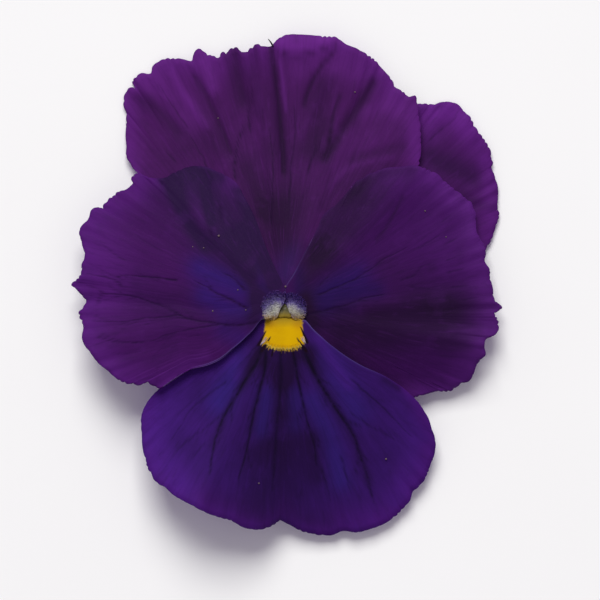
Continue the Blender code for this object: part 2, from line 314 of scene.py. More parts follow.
# %% Smooth curves
TINY = 1e-9
FINE_STEPS = 16  # places worked out for each given point of a line


def through(points, place, column=1):
    """Values on the smooth curve through points, at an array of places. Each point begins with its place."""
    places = np.array([point[0] for point in points], float)
    values = np.array([point[column] for point in points], float)
    slopes = np.gradient(values, places)
    place = np.clip(place, places[0], places[-1])
    i = np.clip(np.searchsorted(places, place) - 1, 0, len(places) - 2)
    step = places[i + 1] - places[i]
    s = (place - places[i]) / step
    start = (1 + 2 * s) * (1 - s) ** 2 * values[i] + s * (1 - s) ** 2 * step * slopes[i]
    end = s * s * (3 - 2 * s) * values[i + 1] + s * s * (s - 1) * step * slopes[i + 1]
    return start + end


def lengths_along(places):
    """How far each place lies along the line through all of them."""
    return np.concatenate([[0], np.cumsum(np.linalg.norm(np.diff(places, axis=0), axis=1))])


def unit(vectors):
    """The same directions, each with a length of 1."""
    return vectors / np.maximum(np.linalg.norm(vectors, axis=-1, keepdims=True), TINY)


def smooth_line(points, count):
    """Evenly spaced places on the smooth line through points."""
    points = np.asarray(points, float)
    rows = np.column_stack([lengths_along(points), points])
    fine = np.linspace(0, rows[-1, 0], FINE_STEPS * len(points))
    dense = np.column_stack([through(rows, fine, column) for column in range(1, rows.shape[1])])
    along = lengths_along(dense)
    even = np.linspace(0, along[-1], count)
    return np.column_stack([np.interp(even, along, dense[:, axis]) for axis in range(dense.shape[1])])


print("a curve through three points at 0.5:", through([(0, 0), (1, 1), (2, 0)], np.array([0.5])))

# %% [markdown]
# The five petals share one bowl: a low dome that is highest at the throat. Each petal follows it at its own
# level, so that they overlap as in the photograph. These are the same named sizes that the frame's solids
# were made from, which is why the fine petals lie where the plain ones do.

# %% The bowl that all petals follow
FACE_TOP = 6.3
FACE_SPREAD = 36.0
FACE_RIM = [  # direction, height of the rim
    (-180, 1.4),
    (-150, 1.3),
    (-110, 2.5),
    (-90, 1.2),
    (-72, -0.1),
    (-35, -0.8),
    (0, 0.0),
    (20, 0.65),
    (60, 0.65),
    (90, 0.1),
    (125, -0.45),
    (150, 0.4),
    (180, 1.4),
]
RING_CENTRE = np.array([0, 0.8, 0])  # middle of the cup that all petals stand on
CUP_TOP = 4.7
SEAT_GAP = 0.3
CLAW_RING = 2.3
CLAW_HALF_ANGLE = 28
THROAT = 3.1  # how far from the middle of the throat the blades begin
RUFFLES_ROUND = (7, 12)


def face(x, y):
    """Height of the bowl."""
    rim = through(FACE_RIM, np.degrees(np.arctan2(y, x)))
    fall = 0.5 + 0.5 * np.cos(np.pi * np.minimum(np.hypot(x, y) / FACE_SPREAD, 1))
    return rim + (FACE_TOP - rim) * fall


def towards(direction, distance, centre=np.zeros(3)):
    """Places at a direction and distance from a centre, at that centre's height."""
    angle = np.radians(direction)
    flat = [np.cos(angle) * distance, np.sin(angle) * distance, np.zeros_like(angle * distance)]
    return np.stack(flat, axis=-1) + centre


print("bowl at the throat and at its rim:", face(0.0, 0.1), face(0.0, FACE_SPREAD))

# %% [markdown]
# What makes one petal unlike another is its description, and a dataclass holds it with every value named.
# The outline runs from its first side to its last, against the clock. A stroke is a brush mark laid on the
# petal along a line: a vein, a fold, a lighter or a bluer patch. Shade and light strokes are partly the
# petal's own darker and paler patches and partly painted shade and painted highlight, where a fold, hollow or
# curl turns away from the lamp or towards it. A stroke has a half width, a strength, and a depth by which it
# sinks the surface, so folds and veins are also real relief.


# %% What describes a petal
@dataclass
class Stroke:
    """One mark along a line of places in the photograph. Kinds are vein, shade, light and blue; shade and
    light are partly painted shade and painted highlight.
    """

    kind: str
    half_width: float
    strength: float
    line: list
    depth: float = 0.0


@dataclass
class Petal:
    """One petal: outline in the photograph's pixels, directions in degrees, the rest in millimetres."""

    name: str
    node: str  # the plain solid that it stands for
    slot: str
    level: float  # how far it lies above the bowl
    claw: float  # direction of its foot
    seed: int
    first_side: list  # distance and direction
    last_side: list
    outline: list
    forms: list  # direction, lift and ruffle of the edge
    folds: list = field(default_factory=list)  # direction, height and half width
    strokes: list = field(default_factory=list)
    tones: dict = field(default_factory=dict)
    teeth: float = 1.0
    crowding: float = 1.15  # over 1, rows of points crowd towards the throat
    # distance, and strength there of the painted highlight along the petal's last side
    rim_highlights: list = field(default_factory=list)  # distance, and strength of the pale rim there
    lip: list = field(default_factory=list)  # share of the way round, and how far the foot leans inward


print("strokes hold:", list(Stroke.__dataclass_fields__))

# %% [markdown]
# ### The front upper petal
#
# The largest petal stands behind the two side petals. It is pleated like a fan, its top edge is cut into
# lobes on the left and curls forward on the right, and one deep fold runs down from its notch.

# %% Front upper petal
upper_front = Petal(
    name="upper_petal_front",
    node="petal_upper_front",
    slot="petal_upper",
    level=0.9,
    claw=120,
    seed=11,
    first_side=[(THROAT, 62), (6, 52.5), (10, 48), (17, 46)],
    last_side=[(THROAT, 125), (6, 133.5), (10, 137.5), (17, 139)],
    outline=[
        (404, 189), (412, 178), (418, 167), (420, 155), (421, 140), (419, 120), (417, 103), (415, 96),
        (409, 97), (403, 92), (397, 89), (390, 78), (380, 66), (370, 57), (357, 49), (345, 44), (337, 38),
        (325, 37), (300, 34.7), (285, 35.5), (279, 38.5), (273, 44.5), (268, 47.3), (263, 46.5),
        (257, 44.5), (253.5, 47.5), (249, 49), (245, 52.5), (241, 53), (238.5, 49.2), (232, 49),
        (228.5, 51.5), (226, 54.8), (223, 52.2), (220.5, 54), (218.5, 58), (213, 56.5), (205, 53),
        (198, 49), (195, 50.5), (193.2, 55), (192, 61), (183, 60), (173, 58.5), (163, 59.8), (155.5, 63.5),
        (152.5, 67), (151, 73), (141, 73.5), (136, 77), (132.5, 82), (135.5, 87.5), (129, 88), (125, 94),
        (124, 104), (126, 115), (126, 140), (128, 160), (137, 172), (148, 186), (156, 199),
    ],
    forms=[
        (46, 0.0, 0.0), (52, 0.1, 0.1), (58, 0.3, 0.3), (69, 0.3, 0.5), (79, 0.5, 0.5), (88, 0.7, 0.4),
        (96, 0.4, 0.4), (104, 0.2, 0.5), (109, 0.0, 0.4), (123, 0.0, 0.3), (127, 0.0, 0.3), (133, 0.0, 0.2),
        (139, 0.0, 0.0),
    ],
    folds=[(95.5, 0.55, 3.0), (112, 0.35, 4.0), (74, 0.3, 4.0)],
    tones={
        "ground": tone(67, 22, 83),
        "margin": tone(91, 32, 117),
        "light": tone(105, 40, 133),
        "shade": tone(39, 15, 50),
        "blue": tone(52, 27, 88),
        "vein": tone(31, 11, 43),
    },
    strokes=[
        # The shade and light strokes along the pleats are painted shade in their valleys and painted
        # highlight on their ridges, over the real relief of their depth.
        Stroke("shade", 0.55, 0.75, [(271, 47), (275, 75), (279, 110), (282, 140), (284, 172)], 0.35),
        Stroke("light", 0.25, 0.35, [(280, 62), (283, 85), (286, 110)], -0.1),
        Stroke("shade", 0.9, 0.3, [(252, 52), (254, 80), (258, 112)]),
        Stroke("shade", 1.4, 0.2, [(266, 60), (270, 110), (272, 150)]),
        Stroke("vein", 0.16, 0.8, [(271, 222), (273, 185), (272, 150), (270, 130)], 0.06),
        Stroke("vein", 0.16, 0.7, [(289, 200), (291, 170), (295, 135), (294, 105)], 0.06),
        Stroke("shade", 0.4, 0.6, [(304, 103), (310, 86), (320, 68), (334, 52)], 0.2),
        Stroke("vein", 0.18, 0.8, [(308, 172), (313, 157), (320, 146)], 0.06),
        Stroke("vein", 0.14, 0.5, [(302, 200), (306, 192), (312, 184)], 0.04),
        Stroke("shade", 0.8, 0.75, [(326, 158), (345, 126), (360, 103), (373, 82)], 0.35),
        Stroke("shade", 0.35, 0.5, [(329, 142), (334, 112), (340, 95)], 0.1),
        Stroke("shade", 0.7, 0.35, [(352, 160), (380, 151), (402, 146)], 0.1),
        Stroke("shade", 0.5, 0.5, [(231, 153), (221, 128), (209, 101), (195, 76)], 0.35),
        Stroke("vein", 0.2, 0.9, [(235, 178), (235, 160), (239, 140), (244, 125)], 0.08),
        Stroke("vein", 0.15, 0.7, [(250, 130), (249, 112), (252, 98)], 0.05),
        Stroke("vein", 0.15, 0.5, [(263, 122), (263, 108)], 0.05),
        Stroke("shade", 1.3, 0.65, [(243, 100), (237, 75), (234, 54)], 0.35),
        Stroke("shade", 1.0, 0.5, [(178, 132), (160, 112), (140, 98)], 0.2),
        Stroke("vein", 0.16, 0.6, [(210, 176), (203, 158), (190, 136)], 0.05),
        Stroke("vein", 0.14, 0.5, [(176, 162), (166, 152)], 0.04),
        Stroke("vein", 0.14, 0.5, [(188, 128), (176, 111), (160, 86)], 0.04),
        Stroke("light", 0.6, 0.4, [(206, 126), (192, 106), (176, 80), (170, 66)], -0.2),
        Stroke("light", 2.4, 0.3, [(190, 118), (166, 92), (156, 80)]),
        Stroke("light", 0.9, 0.6, [(212, 88), (208, 72), (202, 60)], -0.25),
        Stroke("light", 0.7, 0.2, [(260, 110), (257, 85)], -0.1),
        Stroke("light", 0.5, 0.15, [(300, 140), (314, 105), (334, 70)], -0.15),
        # painted highlight where the top edge curls up towards the lamp, over a real lift
        Stroke("light", 1.1, 0.9, [(282, 44), (305, 45), (332, 41)], -0.5),
        Stroke("light", 1.8, 0.25, [(298, 70), (332, 66), (362, 74)]),
        Stroke("shade", 2.6, 0.3, [(176, 152), (216, 140)]),
        # painted shade in the crease under the curl
        Stroke("shade", 0.3, 0.4, [(279, 52), (294, 56), (310, 53), (338, 43)], 0.1),
        Stroke("light", 2.6, 0.08, [(332, 150), (368, 140), (410, 130)], -0.1),
        Stroke("light", 0.4, 0.2, [(330, 186), (350, 168), (392, 158)], -0.1),
        Stroke("light", 1.2, 0.25, [(366, 112), (384, 106), (404, 112)]),
        Stroke("shade", 1.8, 0.55, [(316, 150), (320, 124), (317, 104), (324, 84)]),
        Stroke("shade", 1.4, 0.2, [(218, 152), (208, 128), (202, 112)]),
        Stroke("shade", 1.6, 0.5, [(262, 212), (252, 184), (246, 168)]),
        Stroke("shade", 1.4, 0.35, [(322, 206), (350, 180), (386, 164)]),
        Stroke("shade", 3.4, 0.85, [(280, 238), (282, 214)]),
        Stroke("shade", 5.0, 0.36, [(286, 190), (279, 162), (290, 148)]),
        Stroke("blue", 1.9, 0.9, [(285, 275), (290, 252)]),
    ],
    lip=[(0, 1.4), (1, 1.4)],
)
print("front upper petal:", len(upper_front.outline), "places,", len(upper_front.strokes), "strokes")

# %% [markdown]
# ### The rear upper petal
#
# Only the right part of this petal shows. It bulges near its top edge, with a painted highlight on the bulge,
# and then dips behind its neighbours into a hollow beside the front petal, darkened with painted shade as
# well as sunk.

# %% Rear upper petal
upper_rear = Petal(
    name="upper_petal_rear",
    node="petal_upper_rear",
    slot="petal_upper",
    level=-0.3,
    claw=60,
    seed=12,
    first_side=[(THROAT, 38), (6, 23.5), (10, 17), (17, 14)],
    last_side=[(THROAT, 75), (6, 91.5), (10, 100), (17, 103)],
    outline=[
        (462, 268), (476, 261), (485, 250), (490, 242), (496, 225), (499, 215), (497, 205), (498, 195),
        (496, 180), (492, 170), (492, 163), (490, 152), (485, 142), (477, 130), (470, 118), (463, 110),
        (455, 103), (445, 102), (435, 104), (418, 104), (406, 104), (380, 97), (343, 95), (310, 101),
        (285, 108), (248, 152),
    ],
    forms=[
        (14, 0.0, 0.0), (17, 0.0, 0.1), (24, 0.0, 0.3), (34, 0.0, 0.4), (43, 0.0, 0.3), (50, 0.0, 0.1),
        (54, 0.0, 0.0), (60, 0.0, 0.0), (75, 0.0, 0.0), (90, 0.0, 0.0), (103, 0.0, 0.0),
    ],
    tones={
        "ground": tone(67, 22, 85),
        "margin": tone(85, 28, 112),
        "light": tone(98, 35, 128),
        "shade": tone(43, 17, 58),
        "blue": tone(52, 27, 88),
        "vein": tone(34, 12, 46),
    },
    strokes=[
        # painted highlight on the bulge
        Stroke("light", 1.6, 0.8, [(438, 112), (455, 112), (466, 126)], -0.2),
        # painted shade in the hollow, which is also sunk
        Stroke("shade", 2.0, 0.75, [(430, 158), (444, 164), (470, 176)], 0.25),
        Stroke("light", 1.4, 0.5, [(426, 122), (432, 136)]),
        Stroke("light", 0.8, 0.4, [(484, 160), (488, 190), (488, 215)], -0.1),
        Stroke("shade", 0.9, 0.4, [(458, 196), (476, 204), (490, 206)], 0.1),
        Stroke("vein", 0.15, 0.5, [(430, 140), (446, 126), (458, 117)], 0.04),
    ],
    lip=[(0, 0.6), (1, 0.6)],
)
print("rear upper petal:", len(upper_rear.outline), "places,", len(upper_rear.strokes), "strokes")

# %% [markdown]
# ### The left side petal
#
# It lies in front of all the others. Long dark veins run out from the throat and fork near the lobed edge,
# the part next to the throat is blue, and a fold with small puckers lies under its upper edge, with painted
# shade in the fold and painted highlights on the puckers as well as real relief. Along its lower edge, where
# it turns down from the lamp, painted light evens out the shade.

# %% Left side petal
side_left = Petal(
    name="side_petal_left",
    node="petal_lateral_left",
    slot="petal_lateral",
    level=3.9,
    claw=190,
    seed=13,
    first_side=[(THROAT, 92), (6, 102), (9, 106), (13, 107.5), (17, 109.5)],
    last_side=[(THROAT, 195), (4.8, 208), (6.8, 213.3), (9.4, 215.5), (11, 216), (12.8, 214.6), (15, 211.4)],
    outline=[
        (246, 201), (243, 195), (237, 184), (222, 174), (205, 167), (190, 167), (175, 173), (165, 178),
        (150, 178), (138, 174), (133, 176), (132, 185), (125, 191), (120, 191.5), (114, 196), (108, 201),
        (104.5, 205), (103.5, 209), (100, 207.5), (96, 208), (92, 211), (89.5, 217), (85, 222.5),
        (81.5, 227.5), (80.5, 236), (82, 243), (85, 250), (85, 257), (82.5, 265), (82, 273), (78.5, 279),
        (74, 282.5), (72, 285), (75.5, 288.8), (80.5, 292.8), (84.5, 297.5), (87, 303.5), (82.5, 308),
        (80, 313), (82, 320), (84, 327), (82.8, 336), (86, 346), (92, 353.5), (98.5, 362.5), (106, 368.5),
        (114.5, 376), (122, 380.5), (131, 383.6), (143, 383.5), (148.6, 381.6), (153, 385), (159, 387.5),
        (168, 382.3), (179, 375), (194, 367.5),
    ],
    forms=[
        (109.5, -0.5, 0.1), (112, -0.7, 0.2), (119, -1.0, 0.2), (128, -1.2, 0.3), (135, -1.2, 0.3),
        (138, -1.2, 0.3), (142, -0.9, 0.5), (150, -0.8, 0.8), (156, -0.5, 0.8), (162, -0.5, 0.8),
        (173, -0.5, 0.7), (182, -0.3, 0.7), (190, 0.3, 0.6), (199, 1.0, 0.5), (204, 1.1, 0.3),
        (207.5, 0.8, 0.1), (210, 0.5, 0.0), (211.5, 0.5, 0.0),
    ],
    folds=[(133, 0.7, 7.0), (176, -0.45, 4.0), (189, 0.5, 5.0)],
    tones={
        "ground": tone(60, 17, 80),
        "margin": tone(80, 26, 110),
        "light": tone(88, 32, 120),
        "shade": tone(38, 17, 57),
        "blue": tone(43, 23, 104),
        "vein": tone(31, 9, 48),
    },
    strokes=[
        Stroke("vein", 0.2, 1.0, [
            (262, 321), (238, 325), (210, 322), (188, 318), (172, 310), (155, 303), (137, 297), (112, 294),
            (101, 294),
        ], 0.1),
        Stroke("vein", 0.15, 0.6, [(102, 294), (98, 303), (97, 310)], 0.05),
        Stroke("vein", 0.13, 0.6, [(104, 293), (93, 287), (88, 285)], 0.05),
        Stroke("vein", 0.18, 0.95, [
            (176, 280), (160, 278), (148, 277), (135, 276), (121, 276), (117, 280),
        ], 0.09),
        Stroke("vein", 0.15, 0.8, [(117, 280), (122, 286), (126, 291)], 0.06),
        Stroke("vein", 0.13, 0.7, [(117, 280), (104, 277), (90, 274)], 0.05),
        Stroke("vein", 0.22, 1.0, [
            (247, 308), (238, 303), (228, 298), (217, 293), (208, 288), (197, 282),
        ], 0.1),
        Stroke("vein", 0.2, 0.9, [(245, 290), (239, 283), (232, 277), (224, 274)], 0.08),
        Stroke("vein", 0.16, 0.8, [
            (222, 324), (210, 326), (195, 328), (183, 331), (168, 334), (152, 341),
        ], 0.07),
        Stroke("vein", 0.16, 0.8, [
            (178, 315), (160, 317), (148, 318), (137, 320), (124, 322), (111, 322), (96, 321),
        ], 0.07),
        Stroke("vein", 0.16, 0.8, [(144, 342), (128, 342), (112, 341), (98, 337)], 0.07),
        Stroke("vein", 0.13, 0.5, [(98, 338), (106, 333)], 0.04),
        Stroke("vein", 0.13, 0.5, [(200, 335), (188, 337)], 0.04),
        Stroke("vein", 0.13, 0.4, [(176, 346), (160, 350), (154, 357)], 0.04),
        Stroke("vein", 0.13, 0.5, [(124, 260), (112, 252), (102, 244)], 0.04),
        Stroke("vein", 0.13, 0.5, [(115, 277), (104, 271), (90, 264)], 0.04),
        Stroke("vein", 0.13, 0.35, [(160, 250), (146, 242), (136, 235)], 0.03),
        Stroke("vein", 0.13, 0.35, [(140, 352), (120, 354), (110, 352)], 0.03),
        Stroke("blue", 2.0, 0.8, [(238, 286), (216, 274), (202, 268)]),
        Stroke("blue", 1.6, 0.7, [(247, 313), (222, 306), (204, 296)]),
        Stroke("blue", 1.3, 0.8, [(266, 300), (268, 284), (262, 262)]),
        Stroke("blue", 1.2, 0.5, [(258, 308), (254, 284)]),
        Stroke("shade", 1.2, 0.75, [(240, 192), (254, 220), (267, 252), (277, 284)]),
        Stroke("shade", 1.6, 0.7, [(272, 284), (262, 256), (250, 232)]),
        Stroke("shade", 2.4, 0.3, [(244, 272), (226, 250)]),
        Stroke("light", 4.0, 0.42, [(102, 248), (106, 270), (112, 290)]),
        Stroke("shade", 2.6, 0.25, [(160, 215), (195, 248), (235, 262)]),
        # painted light along the lower edge, which evens out the shade where it turns down from the lamp
        Stroke("light", 1.5, 0.15, [(146, 374), (180, 362)]),
        Stroke("light", 0.9, 0.3, [(166, 377), (186, 365), (206, 356)]),
        Stroke("blue", 1.6, 0.5, [(240, 338), (225, 330)]),
        # the fold under the upper edge: painted shade in it, and painted highlights on its puckers
        Stroke("shade", 1.1, 0.8, [(170, 182), (176, 197), (188, 222), (205, 245)], 0.25),
        Stroke("shade", 0.6, 0.6, [(206, 178), (207, 200), (211, 222)], 0.15),
        Stroke("shade", 3.6, 0.85, [(185, 180), (212, 200), (230, 232)]),
        Stroke("shade", 1.2, 0.5, [(165, 176), (190, 170), (222, 176)]),
        Stroke("light", 0.22, 0.6, [(213, 210), (215, 234)], -0.08),
        Stroke("vein", 0.2, 0.7, [(220, 206), (221, 224)], 0.1),
        Stroke("light", 0.22, 0.6, [(225, 212), (227, 232)], -0.08),
        Stroke("vein", 0.22, 0.6, [(211, 232), (216, 243)], 0.1),
        Stroke("vein", 0.2, 0.5, [(232, 226), (234, 240)], 0.08),
        Stroke("light", 0.5, 0.35, [(190, 186), (196, 205), (204, 226)], -0.1),
        Stroke("light", 0.3, 0.3, [(257, 218), (263, 233), (268, 250)]),
        Stroke("shade", 1.3, 0.8, [(256, 298), (250, 278), (240, 256)], 0.1),
        Stroke("shade", 1.5, 0.95, [(262, 303), (254, 318)]),
        Stroke("shade", 2.6, 0.35, [(230, 326), (190, 310), (150, 300)]),
    ],
    rim_highlights=[(3.3, 0.2), (5.0, 0.25), (8.0, 0.36), (11.0, 0.5), (13.0, 0.4), (14.6, 0.15), (15.6, 0.0)],
    lip=[(0, 2.0), (0.3, 1.3), (0.6, 0.9), (1, 0.6)],
)
print("left side petal:", len(side_left.outline), "places,", len(side_left.strokes), "strokes")

# %% [markdown]
# ### The right side petal
#
# Its upper edge is smooth and its outer edge is lobed, with one sharp tip. A broad band of painted shade runs
# straight out below that tip, where the petal turns away from the light.

# %% Right side petal
side_right = Petal(
    name="side_petal_right",
    node="petal_lateral_right",
    slot="petal_lateral",
    level=1.9,
    claw=-10,
    seed=14,
    first_side=[(THROAT, -38), (6, -43), (10, -45), (16, -46)],
    last_side=[(THROAT, 92), (5, 79), (7.3, 73.5), (9.5, 70.5), (13, 68.5)],
    outline=[
        (362, 392), (388, 397), (415, 397), (428, 393), (440, 391), (450, 390), (460, 384), (468, 381),
        (473, 375), (475, 367), (480, 360), (485, 355), (484, 346), (485, 340), (494, 335), (498, 328),
        (497, 320), (494, 314), (502, 308), (494, 300), (492, 290), (490, 280), (489, 270), (485, 262),
        (485, 250), (483, 245), (476, 230), (475, 213), (472, 205), (465, 198), (455, 191), (447, 184),
        (438, 176), (425, 169), (415, 166), (400, 167), (385, 169), (370, 174), (357, 182), (345, 195),
        (335, 205), (322, 217), (319, 226),
    ],
    forms=[
        (-46, -0.4, 0.0), (-39, -0.7, 0.0), (-33, -0.9, 0.1), (-27, -0.9, 0.3), (-22, -0.1, 0.5),
        (-16.5, 0.8, 0.7), (-11, 1.8, 0.7), (-6, 1.6, 0.7), (1, 0.4, 0.6), (4, 0.1, 0.6), (19, -0.5, 0.5),
        (30, -0.5, 0.4), (38, -0.3, 0.3), (46, 0.0, 0.1), (52, 0.0, 0.0), (58, 0.0, 0.0), (63, 0.0, 0.0),
        (68.5, 0.0, 0.0),
    ],
    folds=[(-4, -0.3, 4.0), (4, 0.3, 4.0), (48, 0.5, 7.0)],
    tones={
        "ground": tone(58, 16, 80),
        "margin": tone(79, 28, 107),
        "light": tone(87, 33, 117),
        "shade": tone(33, 14, 44),
        "blue": tone(39, 17, 83),
        "vein": tone(27, 9, 43),
    },
    strokes=[
        Stroke("vein", 0.2, 1.0, [
            (303, 316), (322, 311), (335, 308), (350, 304), (366, 298), (382, 295),
        ], 0.1),
        Stroke("vein", 0.18, 0.8, [
            (318, 295), (333, 289), (345, 284), (358, 278), (370, 270), (380, 262), (406, 248),
        ], 0.08),
        Stroke("vein", 0.14, 0.6, [(319, 286), (330, 274)], 0.05),
        Stroke("vein", 0.15, 0.6, [(402, 280), (414, 275), (421, 267), (430, 263)], 0.05),
        Stroke("shade", 0.3, 0.4, [(376, 240), (387, 226), (394, 213), (402, 197)], 0.06),
        Stroke("vein", 0.15, 0.5, [(415, 249), (427, 243), (439, 235)], 0.04),
        Stroke("vein", 0.15, 0.5, [(412, 287), (428, 289), (442, 291)], 0.04),
        Stroke("vein", 0.14, 0.5, [(449, 272), (464, 269)], 0.04),
        Stroke("vein", 0.14, 0.5, [(452, 287), (466, 286)], 0.04),
        Stroke("vein", 0.14, 0.5, [(446, 261), (456, 257)], 0.04),
        Stroke("vein", 0.14, 0.4, [(464, 300), (476, 298)], 0.04),
        Stroke("vein", 0.14, 0.35, [(446, 244), (456, 239)], 0.04),
        Stroke("vein", 0.14, 0.3, [(442, 222), (452, 215)], 0.04),
        Stroke("vein", 0.17, 0.5, [(320, 327), (345, 326), (368, 323)], 0.05),
        Stroke("shade", 1.5, 0.22, [(374, 314), (400, 309), (436, 305), (470, 304)], 0.1),
        Stroke("shade", 1.2, 0.5, [(322, 220), (346, 197), (372, 177), (410, 170)]),
        # the broad band of painted shade below the tip
        Stroke("shade", 4.2, 0.82, [(344, 325), (385, 327), (448, 319)]),
        Stroke("shade", 2.4, 0.15, [(345, 346), (385, 352)]),
        Stroke("shade", 3.2, 0.65, [(326, 252), (344, 230), (364, 200)]),
        Stroke("shade", 2.2, 0.6, [(306, 276), (322, 244)]),
        Stroke("shade", 2.2, 0.25, [(384, 266), (412, 288), (440, 296)]),
        Stroke("shade", 1.6, 0.9, [(305, 300), (310, 322)]),
        Stroke("shade", 1.0, 0.3, [(340, 352), (365, 368), (400, 384)], 0.1),
        Stroke("shade", 1.0, 0.25, [(440, 345), (466, 346)], 0.1),
        Stroke("blue", 2.0, 0.9, [(316, 297), (338, 282), (358, 274)]),
        Stroke("blue", 1.4, 0.7, [(322, 304), (350, 296), (376, 290)]),
        Stroke("blue", 1.0, 0.7, [(300, 292), (300, 272)]),
        Stroke("blue", 1.4, 0.4, [(322, 318), (350, 312)]),
        Stroke("light", 1.1, 0.5, [(432, 178), (446, 190), (452, 200)], -0.1),
        Stroke("light", 0.8, 0.6, [(462, 200), (470, 212), (472, 232)], -0.1),
        Stroke("light", 0.5, 0.45, [(452, 328), (466, 331), (484, 330)], -0.1),
        Stroke("light", 2.2, 0.15, [(430, 225), (446, 256)]),
    ],
    rim_highlights=[(3.1, 0.3), (5.0, 0.4), (7.0, 0.2), (9.0, 0.1), (12.0, 0.0)],
    lip=[(0, 0.6), (0.4, 0.9), (0.7, 1.3), (1, 2.0)],
)
print("right side petal:", len(side_right.outline), "places,", len(side_right.strokes), "strokes")

# %% [markdown]
# ### The lower petal
#
# The landing place for bees: broad, notched at its tip, with a yellow eye that dark guide lines lead into.
# Its flanks are blue, its left side rises well off the paper, and a dark band runs down its middle.

